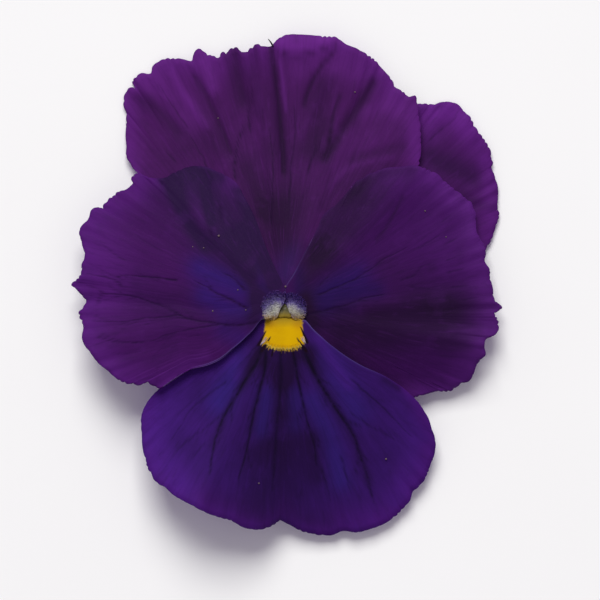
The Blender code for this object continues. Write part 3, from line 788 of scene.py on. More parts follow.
# %% Lower petal
lower = Petal(
    name="lower_petal",
    node="petal_lower",
    slot="petal_lower",
    level=2.9,
    claw=270,
    seed=15,
    first_side=[(THROAT, 200), (6, 202), (10, 203), (16, 203)],
    last_side=[
        (THROAT, 337), (4.4, 329.5), (6.4, 325.5), (9.5, 324), (12.4, 324.7), (16.6, 327.2), (19.5, 327.2)
    ],
    outline=[
        (180, 357), (166, 374), (160, 388), (155, 393), (147, 403), (142, 415), (142, 430), (143, 445),
        (145, 455), (150, 470), (158, 482), (165, 486), (175, 495), (190, 503), (205, 511), (218, 516),
        (230, 519), (240, 525), (255, 529), (265, 528), (274, 524), (280, 520), (288, 524), (300, 530),
        (315, 534), (330, 535), (345, 531), (355, 532), (370, 529), (383, 524), (395, 516), (403, 508),
        (410, 500), (413, 491), (418, 487), (425, 478), (430, 465), (434, 455), (435, 440), (432, 430),
        (428, 418), (420, 405), (413, 397), (402, 387),
    ],
    forms=[
        (203, 0.0, 0.0), (208, 0.0, 0.0), (213.5, 0.0, 0.0), (218, 0.1, 0.1), (226, 0.8, 0.3),
        (236, 2.1, 0.4), (247, 2.8, 0.5), (257, 1.7, 0.4), (264, 0.4, 0.2), (268.5, -0.7, 0.0),
        (273, -1.9, 0.1), (278, -2.2, 0.3), (287.5, -1.7, 0.4), (293, -1.3, 0.5), (299, -1.0, 0.5),
        (307, -0.9, 0.4), (315, -0.7, 0.3), (323.5, -0.2, 0.1), (327.2, 0.0, 0.0),
    ],
    folds=[(268.5, -0.5, 5.0), (245, 0.4, 6.0), (290, 0.4, 6.0)],
    tones={
        "ground": tone(51, 21, 92),
        "margin": tone(71, 23, 111),
        "light": tone(72, 30, 128),
        "shade": tone(33, 14, 53),
        "blue": tone(49, 31, 113),
        "vein": tone(19, 10, 32),
    },
    strokes=[
        Stroke("vein", 0.34, 1.0, [
            (263, 346), (257, 362), (248, 376), (240, 390), (228, 410), (219, 428), (214, 445), (211, 470),
        ], 0.14),
        Stroke("vein", 0.32, 0.95, [
            (266, 347), (265, 370), (260, 387), (256, 403), (252, 420), (248, 440), (243, 462), (238, 478),
        ], 0.12),
        Stroke("vein", 0.36, 0.7, [(281, 352), (280, 390), (277, 415), (275, 450), (272, 490)], 0.1),
        Stroke("shade", 0.7, 0.4, [(262, 350), (248, 376), (228, 410), (215, 445)]),
        Stroke("shade", 0.7, 0.4, [(266, 350), (260, 387), (250, 430)]),
        Stroke("shade", 0.8, 0.45, [(305, 352), (322, 385), (344, 420), (358, 450), (368, 480)]),
        Stroke("vein", 0.31, 0.95, [
            (293, 352), (298, 380), (303, 402), (308, 424), (315, 448), (316, 462),
        ], 0.12),
        Stroke("vein", 0.42, 1.0, [
            (304, 350), (312, 368), (321, 385), (330, 399), (343, 418), (353, 434), (360, 455), (367, 478),
            (373, 500),
        ], 0.16),
        Stroke("vein", 0.2, 0.6, [(352, 380), (375, 401), (385, 410), (396, 421), (411, 436)], 0.06),
        Stroke("vein", 0.18, 0.5, [(350, 412), (372, 427), (384, 433), (398, 441)], 0.05),
        Stroke("vein", 0.17, 0.45, [(226, 382), (208, 395), (190, 411), (181, 425), (172, 439)], 0.05),
        Stroke("vein", 0.17, 0.5, [(222, 415), (205, 428), (190, 439), (175, 452)], 0.05),
        Stroke("vein", 0.16, 0.4, [(205, 443), (192, 459)], 0.04),
        Stroke("vein", 0.15, 0.5, [(258, 345), (246, 358), (234, 371)], 0.05),
        Stroke("vein", 0.2, 0.5, [(340, 455), (350, 490)], 0.06),
        Stroke("vein", 0.2, 0.5, [(322, 470), (331, 500)], 0.06),
        Stroke("vein", 0.2, 0.35, [(302, 488), (297, 505)], 0.05),
        Stroke("vein", 0.2, 0.3, [(240, 478), (236, 500)], 0.04),
        Stroke("shade", 2.0, 0.9, [(284, 354), (283, 372)]),
        Stroke("shade", 1.6, 0.45, [(283, 376), (282, 412)]),
        Stroke("shade", 4.0, 0.3, [(283, 380), (282, 440)]),
        Stroke("shade", 4.2, 0.6, [(284, 448), (290, 486)]),
        Stroke("shade", 1.4, 0.5, [(312, 440), (318, 476)]),
        # painted light over the shadow that the left side petal casts here
        Stroke("light", 1.1, 0.45, [(170, 388), (190, 376), (212, 368), (230, 358)]),
        Stroke("shade", 2.0, 0.35, [(215, 498), (260, 515), (330, 522)]),
        Stroke("light", 1.8, 0.25, [(178, 414), (206, 436)]),
        Stroke("shade", 2.4, 0.4, [(252, 452), (256, 494)]),
        Stroke("shade", 0.5, 0.6, [(384, 380), (398, 388)]),
        Stroke("shade", 1.6, 0.5, [(262, 353), (306, 353)]),
        Stroke("blue", 2.0, 0.8, [(238, 362), (230, 380), (220, 402)]),
        Stroke("shade", 1.2, 0.3, [(250, 362), (243, 382)]),
        Stroke("blue", 1.4, 0.9, [(266, 392), (262, 430)]),
        Stroke("blue", 1.2, 0.8, [(292, 392), (294, 425)]),
        Stroke("blue", 2.2, 0.6, [(324, 358), (342, 386), (356, 410)]),
        Stroke("blue", 1.6, 0.7, [(312, 400), (330, 440), (340, 480)]),
        Stroke("shade", 1.4, 0.4, [(310, 350), (322, 368)]),
        Stroke("shade", 1.4, 0.3, [(258, 352), (248, 366)]),
        Stroke("light", 0.9, 0.5, [(318, 340), (332, 362), (348, 385)], -0.15),
        Stroke("light", 0.7, 0.35, [(250, 352), (238, 376)], -0.1),
        Stroke("light", 1.8, 0.3, [(400, 408), (412, 446), (398, 490)]),
        Stroke("light", 2.4, 0.55, [(158, 404), (156, 446), (178, 482)]),
    ],
    teeth=0.6,
    crowding=1.5,
    rim_highlights=[
        (2.7, 0.5), (4.0, 0.6), (6.0, 0.45), (9.0, 0.3), (12.0, 0.4), (14.0, 0.3), (16.0, 0.1), (19.0, 0.0),
    ],
    lip=[(0, 0.5), (0.25, 2.3), (0.5, 3.0), (0.75, 2.3), (1, 0.5)],
)
print("lower petal:", len(lower.outline), "places,", len(lower.strokes), "strokes")

# %% [markdown]
# ## From description to surface
#
# The outline gets its small teeth first. They are rounded lobes with sharp notches between, which is what
# the absolute value of a sine looks like, at a wavelength that wanders so that no two are alike.

# %% The toothed outline
COLUMNS = 560
EVEN_SHARE = 0.12
TEETH_SEED = 200
TOOTH_LENGTHS = (2.7, 1.1)
TOOTH_DEPTHS = (0.2, 0.22)
TOOTH_SIZES = (0.05, 1.2)
TEETH_START = 14  # teeth grow to full size over one part in so many at each end of the edge
WANDER_LENGTHS = (1, 0.57, 0.31)


def wander(draw, along, swing, wavelength):
    """A slow random sway along a line."""
    parts = [
        draw.uniform(0.6, 1) * np.sin(along / (wavelength * length) + draw.uniform(0, 6.3))
        for length in WANDER_LENGTHS
    ]
    return swing * sum(parts) / 2


def directions_of(path, near):
    """Directions of places in degrees, without jumps, that begin within half a turn of a given one."""
    directions = np.degrees(np.unwrap(np.arctan2(path[:, 1], path[:, 0])))
    return directions + 360 * np.round((near - directions[0]) / 360)


def toothed_outline(petal):
    """The petal's edge: its places, their directions and shares of the way round, and the length so far."""
    path = smooth_line(from_photo(petal.outline), COLUMNS + 1)
    along = lengths_along(path)
    plain = directions_of(path, petal.first_side[-1][1])
    share = np.maximum.accumulate((plain - plain[0]) / (plain[-1] - plain[0]))
    even = np.linspace(0, 1, COLUMNS + 1)
    share = (1 - EVEN_SHARE) * share / share[-1] + EVEN_SHARE * even
    ahead = unit(np.gradient(path, axis=0))
    outward = np.column_stack([ahead[:, 1], -ahead[:, 0]])
    draw = random.Random(petal.seed + TEETH_SEED)
    step = np.zeros(COLUMNS + 1)
    for length, depth in zip(TOOTH_LENGTHS, TOOTH_DEPTHS):
        phase = np.pi * along / length + wander(draw, along, 2.4, 1.7 * length)
        size = np.clip(0.5 + wander(draw, along, 0.8, 3.0 * length), *TOOTH_SIZES)
        step += depth * size * (np.abs(np.sin(phase)) ** 0.8 - 0.6)
    calm = np.minimum(1, TEETH_START * np.minimum(even, 1 - even))
    path = path + outward * (step * calm * petal.teeth)[:, None]
    return path, directions_of(path, plain[0]), share, along


edge_length = lengths_along(toothed_outline(lower)[0])[-1]
print("edge of the lower petal, in millimetres:", round(edge_length, 1))

# %% [markdown]
# Between throat and edge the petal is a fan of lines. Its height adds up the bowl, the petal's own level,
# the lift and ruffles of its edge, its folds, and a fine crimp of the thin margin. Formulas were chosen
# over sculpting, because the folds can then be set down in the same places as in the photograph.

# %% The blade
CRIMP = 0.14
CRIMP_LENGTH = 2.6
CRIMP_SEED = 300
CRIMP_START = 7  # the crimp grows to full size over one part in so many at each side of the petal


def ruffle(petal, direction):
    """The uneven wave round the petal's edge, from 0 to 1, that the frame's solids have too."""
    draw = random.Random(petal.seed)
    waves = [np.sin(np.radians(direction) * count + draw.uniform(0, 2 * math.pi)) for count in RUFFLES_ROUND]
    return 0.5 + 0.25 * sum(waves)


def blade(petal, path, directions, share, along, s):
    """Places of the blade's points for an array of rows s, from 0 at the throat to 1 at the edge."""
    reach = np.hypot(path[:, 0], path[:, 1])
    distance = THROAT + (reach - THROAT) * s
    fan = through(petal.first_side, distance) * (1 - share) + through(petal.last_side, distance) * share
    at_edge = through(petal.first_side, reach) * (1 - share) + through(petal.last_side, reach) * share
    places = towards(fan + (directions - at_edge) * s**2, distance)
    z = face(places[..., 0], places[..., 1]) + petal.level
    z += through(petal.forms, directions) * s**2
    z += through(petal.forms, directions, 2) * ruffle(petal, directions) * s**3
    for middle, height, half_width in petal.folds:
        z += height * np.exp(-(((directions - middle) / half_width) ** 2)) * s
    draw = random.Random(petal.seed + CRIMP_SEED)
    phase = 2 * np.pi * along / CRIMP_LENGTH + wander(draw, along, 2.5, 4.0)
    calm = np.clip(CRIMP_START * np.minimum(share, 1 - share), 0, 1) ** 2
    z += CRIMP * np.sin(phase) * (0.6 + wander(draw, along, 0.4, 6.0)) * calm * s**7
    places[..., 2] = z
    return places


print("ruffle at the tip of the lower petal:", round(float(ruffle(lower, 270.0)), 2))

# %% [markdown]
# Below the blade a narrow claw bends down into the throat and stands on the stalk. Claw and blade are one
# grid of points, with rows from foot to edge and columns from the first side to the last. Each point keeps
# the facts that its finish needs, such as how near it is to the margin.

# %% Claw and blade together
CLAW_ROWS = 18
BLADE_ROWS = 50
LIP_CENTRE = np.array([0, 0.5])
LIP_RISE = 0.22
MARGIN_WIDTH = 3.2


def petal_surface(petal):
    """The middle of the petal's sheet, with what each of its points needs to know for its finish."""
    path, directions, share, along = toothed_outline(petal)
    s = np.linspace(0, 1, BLADE_ROWS + 1)[:, None] ** petal.crowding
    places = blade(petal, path, directions, share, along, s)
    foot = towards(petal.claw + (2 * share - 1) * CLAW_HALF_ANGLE, CLAW_RING, RING_CENTRE)
    foot[:, 2] = CUP_TOP + SEAT_GAP
    lip = through(petal.lip, share)
    knee = foot.copy()
    knee[:, :2] += unit(LIP_CENTRE - knee[:, :2]) * lip[:, None]
    knee[:, 2] = places[0, :, 2] + LIP_RISE * lip
    w = np.linspace(0, 1, CLAW_ROWS + 1)[:-1, None, None]
    claw = foot * (1 - w) ** 2 + knee * 2 * w * (1 - w) + places[0] * w * w
    grid = np.concatenate([claw, places])
    distance = np.hypot(grid[..., 0], grid[..., 1])
    depth_in = np.concatenate([1 - w[..., 0] * np.ones_like(share), np.zeros((BLADE_ROWS + 1, COLUMNS + 1))])
    s = np.concatenate([np.zeros((CLAW_ROWS, 1)), s]) * np.ones_like(share)
    edge_gap = (1 - s) * (np.hypot(path[:, 0], path[:, 1]) - THROAT)
    facts = {
        "s": s,
        "share": share * np.ones_like(s),
        "in_throat": depth_in,
        "margin": np.exp(-((edge_gap / MARGIN_WIDTH) ** 2)),
        "span": np.radians(petal.last_side[-1][1] - petal.first_side[-1][1]) * distance,
        "distance": distance,
    }
    return grid, facts


print("rows of points on a petal:", len(petal_surface(lower)[0]))

# %% [markdown]
# The fine net of veins isn't drawn by hand. Each main vein leaves the claw at its own place on the fan,
# sways a little, and forks twice on its way to the edge.

# %% Fine veins
FAN_VEINS = 24
FINE_VEIN_WIDTH = 0.13
VEIN_SEED = 400
FORK_LENGTH = 0.4


def fine_veins(petal, facts):
    """The forking net of thin veins, from 0 between them to 1 on them."""
    draw = random.Random(petal.seed + VEIN_SEED)
    s, share, span = facts["s"], facts["share"], facts["span"]
    best = np.zeros_like(s)
    for number in range(FAN_VEINS):
        start = (number + draw.uniform(0.25, 0.75)) / FAN_VEINS
        sway = draw.uniform(-0.006, 0.006) * np.sin(s * draw.uniform(4, 8) + draw.uniform(0, 6.3))
        first_fork = draw.uniform(0.15, 0.5)
        second_fork = draw.uniform(0.5, 0.8)
        openings = (draw.uniform(0.012, 0.026), draw.uniform(0.01, 0.022))
        for first_turn in (-1, 1):
            for second_turn in (-1, 1):
                at = start + sway
                at = at + first_turn * openings[0] * np.clip((s - first_fork) / FORK_LENGTH, 0, 1.4)
                at = at + second_turn * openings[1] * np.clip((s - second_fork) / FORK_LENGTH, 0, 1)
                gap = np.abs(share - at) * span
                best = np.maximum(best, np.exp(-((gap / FINE_VEIN_WIDTH) ** 2)))
    return best * np.clip(s / 0.35, 0, 1) * (1 - 0.4 * s) * (1 - facts["in_throat"])


print("fine veins that reach the edge of a petal:", 4 * FAN_VEINS)

# %% [markdown]
# A stroke is strongest on its line and fades beside it. A vein is never quite smooth, so the inner places
# of its line are moved a little, and short twigs leave it forward to both sides.

# %% Lines that fade, sway and branch
VEIN_SWAY = 0.05
TWIG_SPACING = 2.4
TWIG_TURN = 24
TWIG_REACH = (1.2, 3.4)


def nearness(x, y, places, half_width, taper):
    """From 1 on a line of places, in millimetres, to 0 a few half widths away from it."""
    best = np.zeros_like(x)
    for number, (start, end) in enumerate(zip(places[:-1], places[1:])):
        step = end - start
        share = ((x - start[0]) * step[0] + (y - start[1]) * step[1]) / max(step @ step, TINY)
        share = np.clip(share, 0, 1)
        gap = np.hypot(x - start[0] - share * step[0], y - start[1] - share * step[1])
        fade = taper * number / len(places)
        best = np.maximum(best, (1 - 0.5 * fade) * np.exp(-((gap / (half_width * (1 - fade))) ** 2)))
    return best


def swaying(places, draw):
    """The line with its inner places moved a little at random."""
    places = places.copy()
    places[1:-1] += [[draw.gauss(0, VEIN_SWAY), draw.gauss(0, VEIN_SWAY)] for _ in places[1:-1]]
    return places


def twigs(places, draw):
    """Short side branches of a vein, each leaving it forward to one side."""
    length = lengths_along(places)[-1]
    found = []
    for _ in range(int(length / TWIG_SPACING)):
        i = draw.randrange(len(places) // 5, len(places) - 2)
        ahead = math.atan2(*(places[i + 1] - places[i])[::-1])
        turn = ahead + math.radians(draw.choice((-1, 1)) * draw.uniform(0.6, 1.3) * TWIG_TURN)
        reach = draw.uniform(*TWIG_REACH)
        end = places[i] + reach * np.array([math.cos(turn), math.sin(turn)])
        middle = (places[i] + end) / 2 + 0.12 * reach * np.array([math.cos(ahead), math.sin(ahead)])
        found.append(swaying(smooth_line([places[i], middle, end], 5), draw))
    return found


straight = np.linspace((0.0, 0.0), (12.0, 0.0), 10)
print("twigs on a vein of 12 mm:", len(twigs(straight, random.Random(1))))

# %% [markdown]
# Each stroke adds to the fact of its kind and sinks or raises the surface under it. A petal that turns up
# along its last side also gets a painted highlight there, a pale rim where its thin edge catches the light.

# %% Laying the strokes
STROKE_SEED = 500
LINE_STEPS = 14
VEIN_TAPER = 0.6
TWIG_SHARE = 0.55
RELIEF = {"vein": 0.6, "shade": 0.5, "light": 0.5, "blue": 0.0}
FINE_VEIN_DEPTH = 0.008
RIM_HIGHLIGHT_WIDTH = 0.13
PETAL_THICKNESS = 0.26


def lay_strokes(petal, grid, facts):
    """Adds each kind of stroke to the facts, and sinks or raises the surface under it."""
    x, y = grid[..., 0], grid[..., 1]
    draw = random.Random(petal.seed + STROKE_SEED)
    for kind in RELIEF:
        facts[kind] = np.zeros_like(x)
    for stroke in petal.strokes:
        places = smooth_line(from_photo(stroke.line), LINE_STEPS)
        if stroke.kind == "vein":
            places = swaying(places, draw)
            near = nearness(x, y, places, stroke.half_width, VEIN_TAPER)
            facts["vein"] = np.maximum(facts["vein"], stroke.strength * near)
            for twig in twigs(places, draw):
                small = nearness(x, y, twig, TWIG_SHARE * stroke.half_width, VEIN_TAPER)
                facts["vein"] = np.maximum(facts["vein"], TWIG_SHARE * stroke.strength * small)
        else:
            near = nearness(x, y, places, stroke.half_width, 0.0)
            facts[stroke.kind] = facts[stroke.kind] + stroke.strength * near
        grid[..., 2] -= RELIEF[stroke.kind] * stroke.depth * near
    facts["net"] = fine_veins(petal, facts)
    grid[..., 2] -= FINE_VEIN_DEPTH * facts["net"]
    # the rim fact is a painted highlight along the thin upturned side
    facts["rim"] = np.zeros_like(x)
    if petal.rim_highlights:
        side_gap = (1 - facts["share"]) * facts["span"]
        on_side = np.exp(-((side_gap / RIM_HIGHLIGHT_WIDTH) ** 2)) * (1 - facts["in_throat"])
        facts["rim"] = on_side * through(petal.rim_highlights, facts["distance"])
    grid[..., 2] = np.maximum(grid[..., 2], PETAL_THICKNESS / 2)


grid, facts = petal_surface(side_left)
lay_strokes(side_left, grid, facts)
print("strongest vein on the left side petal:", round(float(facts["vein"].max()), 2))

# %% [markdown]
# A mesh has no thickness of its own, so a sheet is closed into a thin body. These helpers store facts at a
# mesh's points, turn its faces outward, and make the object.


# %% Mesh pieces
def store_facts(mesh, facts):
    """Stores a number at each point of the mesh under each fact's name."""
    for fact, values in facts.items():
        held = mesh.attributes.new(fact, "FLOAT", "POINT")
        held.data.foreach_set("value", values.astype(np.float32))


def turn_outward(piece):
    """Flips the faces of a closed mesh if they point inward."""
    mesh = piece.data
    mesh.calc_loop_triangles()
    corners = np.zeros(len(mesh.vertices) * 3, np.float32)
    mesh.vertices.foreach_get("co", corners)
    corners = corners.reshape(-1, 3).astype(float)
    triangles = np.zeros(len(mesh.loop_triangles) * 3, np.int32)
    mesh.loop_triangles.foreach_get("vertices", triangles)
    a, b, c = corners[triangles.reshape(-1, 3)].transpose(1, 0, 2)
    if np.einsum("ij,ij->i", a, np.cross(b, c)).sum() < 0:
        mesh.flip_normals()


def mesh_piece(name, points, faces, finishes):
    """A smooth closed object from places in millimetres and its faces."""
    mesh = bpy.data.meshes.new(name)
    mesh.from_pydata(in_frame(points).tolist(), [], faces)
    for finish in finishes:
        mesh.materials.append(finish)
    mesh.shade_smooth()
    made = add_object(name, mesh)
    turn_outward(made)
    return made


def ring_of_quads(numbers):
    """Four-sided faces between the rows of a table of point numbers, each row closed to a ring."""
    turned = np.roll(numbers, -1, axis=1)
    return np.stack([numbers[:-1], turned[:-1], turned[1:], numbers[1:]], -1).reshape(-1, 4)


print("faces between two rings of 6 points:", len(ring_of_quads(np.arange(12).reshape(2, 6))))

# %% [markdown]
# The sheet is made twice, half a thickness above and below its middle, and closed all round with a rounded
# margin. The finishes of the face and of the back are two material slots.

# %% A closed sheet
RIM_BULGE = 0.35


def boundary(rows, columns):
    """Numbers of the points round a grid, in order."""
    numbers = np.arange(rows * columns).reshape(rows, columns)
    return np.concatenate([numbers[0, :-1], numbers[:-1, -1], numbers[-1, :0:-1], numbers[:0:-1, 0]])


def closed_sheet(name, grid, thickness, facts, finishes):
    """A closed body from the grid of its middle, with a rounded rim, and facts kept at its points."""
    rows, columns = grid.shape[:2]
    normal = unit(np.cross(np.gradient(grid, axis=1), np.gradient(grid, axis=0)))
    if normal[rows // 2, columns // 2, 2] < 0:
        normal = -normal
    thickness = np.broadcast_to(np.asarray(thickness, float), (rows, columns))[..., None]
    middle = grid.reshape(-1, 3)
    ring = boundary(rows, columns)
    padded = np.pad(grid[1:-1, 1:-1], ((1, 1), (1, 1), (0, 0)), mode="edge").reshape(-1, 3)
    away = unit(middle[ring] - padded[ring])
    rim = middle[ring] + away * thickness.reshape(-1, 1)[ring] * RIM_BULGE
    top = (grid + normal * thickness / 2).reshape(-1, 3)
    under = (grid - normal * thickness / 2).reshape(-1, 3)
    count = rows * columns
    numbers = np.arange(count).reshape(rows, columns)
    corners = (numbers[:-1, :-1], numbers[:-1, 1:], numbers[1:, 1:], numbers[1:, :-1])
    quads = np.stack(corners, -1).reshape(-1, 4)
    next_ring = np.roll(ring, -1)
    on_rim = 2 * count + np.arange(len(ring))
    next_rim = np.roll(on_rim, -1)
    top_rim = np.stack([next_ring, ring, on_rim, next_rim], -1)
    under_rim = np.stack([next_rim, on_rim, ring + count, next_ring + count], -1)
    faces = np.concatenate([quads, quads[:, ::-1] + count, top_rim, under_rim])
    made = mesh_piece(name, np.concatenate([top, under, rim]), faces.tolist(), finishes)
    on_back = np.zeros(len(faces), int)
    on_back[len(quads) : 2 * len(quads)] = len(finishes) - 1
    made.data.polygons.foreach_set("material_index", on_back)
    flat = {fact: np.broadcast_to(values, (rows, columns)).reshape(-1) for fact, values in facts.items()}
    store_facts(made.data, {fact: on_sheet(values, ring) for fact, values in flat.items()})
    return made


def on_sheet(values, ring):
    """Values of a grid's points as the closed sheet holds them: on top, below, and round the rim."""
    return np.concatenate([values, values, values[ring]])


print("points round a grid of 3 by 4:", len(boundary(3, 4)))

# %% [markdown]
# ## The velvet of the petals
#
# A viola's face looks like velvet because its skin is covered in tiny cones that catch light at a slant.
# The finish mixes the petal's tones by its strokes, mottles them along the fan, darkens the veins, and adds
# a sheen and a fine grain. Noise was chosen over a picture, so that the velvet has no seam.

# %% Finish of a petal's face
MOTTLES = (  # pattern, where its mark begins and is fullest, its strength there, and its tone
    ("streaks", 0.52, 0.74, 0.24, "shade"),
    ("streaks", 0.46, 0.26, 0.14, "light"),
    ("blotches", 0.52, 0.72, 0.22, "shade"),
    ("blotches", 0.44, 0.3, 0.1, "light"),
    ("net", 0.2, 1.0, 0.16, "vein"),
)
VELVET_SHEEN = tone(170, 70, 240)
# tone of the painted highlight on the rim
RIM_HIGHLIGHT_TONE = tone(88, 74, 136)
GRAIN_SCALE = 5200.0


def petal_face(petal):
    """The velvet of a petal's upper side, in the petal's own tones."""
    made, tree, shader = new_finish(
        petal.name + "_face", roughness=0.62, sheen=0.03, sheen_colour=VELVET_SHEEN, specular=0.04
    )
    tones = petal.tones
    place = on_object(tree)
    grain = noise(tree, place, GRAIN_SCALE, 2.0)
    patterns = {
        "streaks": noise(tree, placed(tree, "fan"), 1.0, 4.0, 0.6, 0.5),
        "blotches": noise(tree, place, 260.0, 4.0, 0.55),
        "net": measured(tree, "net"),
    }
    patchy = spread(tree, patterns["blotches"], 0.3, 0.7, 0.55, 1.15)
    uneven = reckon(tree, "MULTIPLY", measured(tree, "margin"), patchy)
    colour = mix(tree, uneven, tones["ground"], tones["margin"])
    for kind in ("blue", "light", "shade"):
        colour = mix(tree, measured(tree, kind), colour, tones[kind])
    for pattern, begins, fullest, strength, kind in MOTTLES:
        mark = spread(tree, patterns[pattern], begins, fullest, 0.0, strength)
        colour = mix(tree, mark, colour, tones[kind])
    broken = spread(tree, noise(tree, place, 1100.0), 0.3, 0.55, 0.45, 1.0)
    colour = mix(tree, reckon(tree, "MULTIPLY", measured(tree, "vein"), broken), colour, tones["vein"])
    # the painted highlight on the thin rim
    colour = mix(tree, measured(tree, "rim"), colour, RIM_HIGHLIGHT_TONE)
    if petal is lower:
        colour = eye_colour(tree, colour, place)
    rough_skin = bump(tree, grain, 0.03, 0.5)
    paint(tree, shader, colour, bump(tree, patterns["streaks"], 0.05, 0.4, rough_skin))
    tree.links.new(spread(tree, grain, 0.3, 0.7, 0.55, 0.72), shader.inputs["Roughness"])
    return made


print("marks that mottle a petal:", len(MOTTLES))

# %% [markdown]
# The back of a petal has no velvet. It is paler and a little glossier, it is greenish near the throat, and
# its veins stand out, so it gets a simpler finish of its own.

# %% Finish of a petal's back
BACK_TONES = (tone(104, 72, 138), tone(86, 52, 122))
BACK_MARKS = (  # fact, where its mark begins and is fullest, its strength there, and its tone
    ("s", 0.12, 0.0, 0.8, tone(150, 160, 110)),
    ("net", 0.1, 1.0, 0.55, tone(60, 30, 88)),
    ("vein", 0.0, 1.0, 0.6, tone(52, 24, 80)),
)


def petal_back(petal):
    """The pale veined underside of a petal."""
    made, tree, shader = new_finish(petal.name + "_back", roughness=0.7, sheen=0.15, specular=0.25)
    colour = mix(tree, noise(tree, on_object(tree), 300.0), *BACK_TONES)
    margin = ("margin", 0.0, 1.0, 0.6, petal.tones["margin"])
    for fact, begins, fullest, strength, mark_tone in (margin, *BACK_MARKS):
        mark = spread(tree, measured(tree, fact), begins, fullest, 0.0, strength)
        colour = mix(tree, mark, colour, mark_tone)
    paint(tree, shader, colour, bump(tree, measured(tree, "net"), 0.05))
    return made


print("marks on a petal's back, with its margin:", len(BACK_MARKS) + 1)

# %% [markdown]
# The eye is a patch with a ragged lower edge, so it is measured as a distance from its centre, against the
# outline read off the photograph. The dark whiskers that run into it are short strokes.

# %% The eye
EYE_CENTRE = (284.5, 333)
EYE_OUTLINE = [
    (265.8, 318), (265.2, 326), (264.6, 333), (262.6, 339), (261.4, 343), (263.5, 344.5), (267, 346),
    (272, 348), (278, 349), (285, 349.5), (293, 349), (298, 347.5), (302, 345), (304.6, 342.3),
    (303.8, 338), (302.5, 333), (302.4, 326), (302, 318), (295, 314), (284, 310), (273, 314),
]
EYE_SOFTNESS = 0.09
EYE_SEED = 5
EYE_RAGS = (31, 47, 68, 95)  # how many waves of each size go round the eye
EYE_RAG_DEPTH = 0.1
EYE_CORNERS = [(271, 323), (297.5, 324)]
EYE_CORNER_REACH = 0.75
EYE_BRIGHT = [(291, 325), (289, 343)]
EYE_OLIVE_AND_SHADE_SPAN = [(284, 314), (284, 328)]
WHISKERS = [  # half width and line
    (0.22, [(266, 331), (262.4, 338), (258.5, 345)]),
    (0.24, [(270.5, 337), (267, 343), (262.5, 350)]),
    (0.14, [(274, 346.5), (273, 350), (272, 355)]),
    (0.09, [(281.5, 348), (281.3, 353)]),
    (0.09, [(287, 349.5), (287.3, 353)]),
    (0.11, [(292.5, 348.5), (293.5, 354)]),
    (0.24, [(297.2, 338.5), (301, 344), (306.5, 351)]),
    (0.22, [(300.8, 327.5), (303.6, 334), (307, 342)]),
]
WHISKER_STEPS = 12
WHISKER_TAPER = 0.65


def add_eye(grid, facts):
    """How golden, bright, orange, olive with painted shade, or whiskered each point of the lower petal is."""
    x, y = grid[..., 0], grid[..., 1]
    centre = from_photo([EYE_CENTRE])[0]
    outline = from_photo(EYE_OUTLINE) - centre
    angles = np.arctan2(outline[:, 1], outline[:, 0])
    reaches = np.hypot(outline[:, 0], outline[:, 1])
    aside, above = x - centre[0], y - centre[1]
    angle = np.arctan2(above, aside)
    draw = random.Random(EYE_SEED)
    ragged = sum(
        draw.uniform(0.5, 1) * np.sin(angle * count + draw.uniform(0, 6.3)) for count in EYE_RAGS
    )
    edge = np.interp(angle, angles, reaches, period=2 * np.pi)
    edge = edge + EYE_RAG_DEPTH * ragged * np.clip(-above / 2.0, 0, 1)
    facts["eye"] = np.clip(0.5 + (edge - np.hypot(aside, above)) / (2 * EYE_SOFTNESS), 0, 1)
    corners = [np.hypot(x - place[0], y - place[1]) for place in from_photo(EYE_CORNERS)]
    facts["eye_corners"] = 0.4 * np.exp(-((np.minimum(*corners) / EYE_CORNER_REACH) ** 2))
    facts["eye_bright"] = 0.8 * nearness(x, y, from_photo(EYE_BRIGHT), 1.0, 0)
    # Darker olive towards the top of the eye: partly its own olive, partly painted shade where it bends down
    # into the throat under the beards.
    top, low = from_photo(EYE_OLIVE_AND_SHADE_SPAN)[:, 1]
    facts["eye_top_olive_and_shade"] = np.clip((y - low) / (top - low), 0, 1) ** 0.85
    facts["whisker"] = np.zeros_like(x)
    for half_width, line in WHISKERS:
        places = smooth_line(from_photo(line[::-1]), WHISKER_STEPS)
        near = nearness(x, y, places, half_width, WHISKER_TAPER)
        facts["whisker"] = np.maximum(facts["whisker"], near)


def eye_colour(tree, colour, place):
    """Gold on the lower petal's eye, orange in its upper corners, and olive with painted shade towards its
    top, where it bends down into the throat under the beards.
    """
    gold = mix(tree, noise(tree, place, 1500.0), tone(213, 169, 2), tone(202, 156, 4))
    gold = mix(tree, measured(tree, "eye_bright"), gold, tone(218, 172, 2))
    gold = mix(tree, measured(tree, "eye_corners"), gold, tone(186, 118, 14))
    # olive and painted shade towards the top of the eye
    gold = mix(tree, measured(tree, "eye_top_olive_and_shade"), gold, tone(95, 85, 30))
    colour = mix(tree, measured(tree, "eye"), colour, gold)
    return mix(tree, spread(tree, measured(tree, "whisker"), 0.1, 0.7), colour, tone(26, 10, 26))


print("the eye has", len(EYE_OUTLINE), "places round it and", len(WHISKERS), "whiskers")

# %% [markdown]
# Each petal takes the place of its plain solid in the frame and rides with it. The sheet thins towards its
# margin, and each point holds its place on the fan, along which the finish stretches its streaks.

# %% Make the petals
PETALS = (upper_rear, upper_front, side_right, side_left, lower)
KEPT_FACTS = ("s", "in_throat", "margin", "vein", "shade", "light", "blue", "net", "rim")
MARGIN_THINNING = 0.35
FAN_STREAKS = 70.0
FAN_LENGTHS = 8.0


def keep(piece, slot, *nodes):
    """The piece rides with the flower and stands for the given solids, which are hidden. The slot is not
    used.
    """
    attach(piece, "root")
    if nodes:
        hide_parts(*nodes)


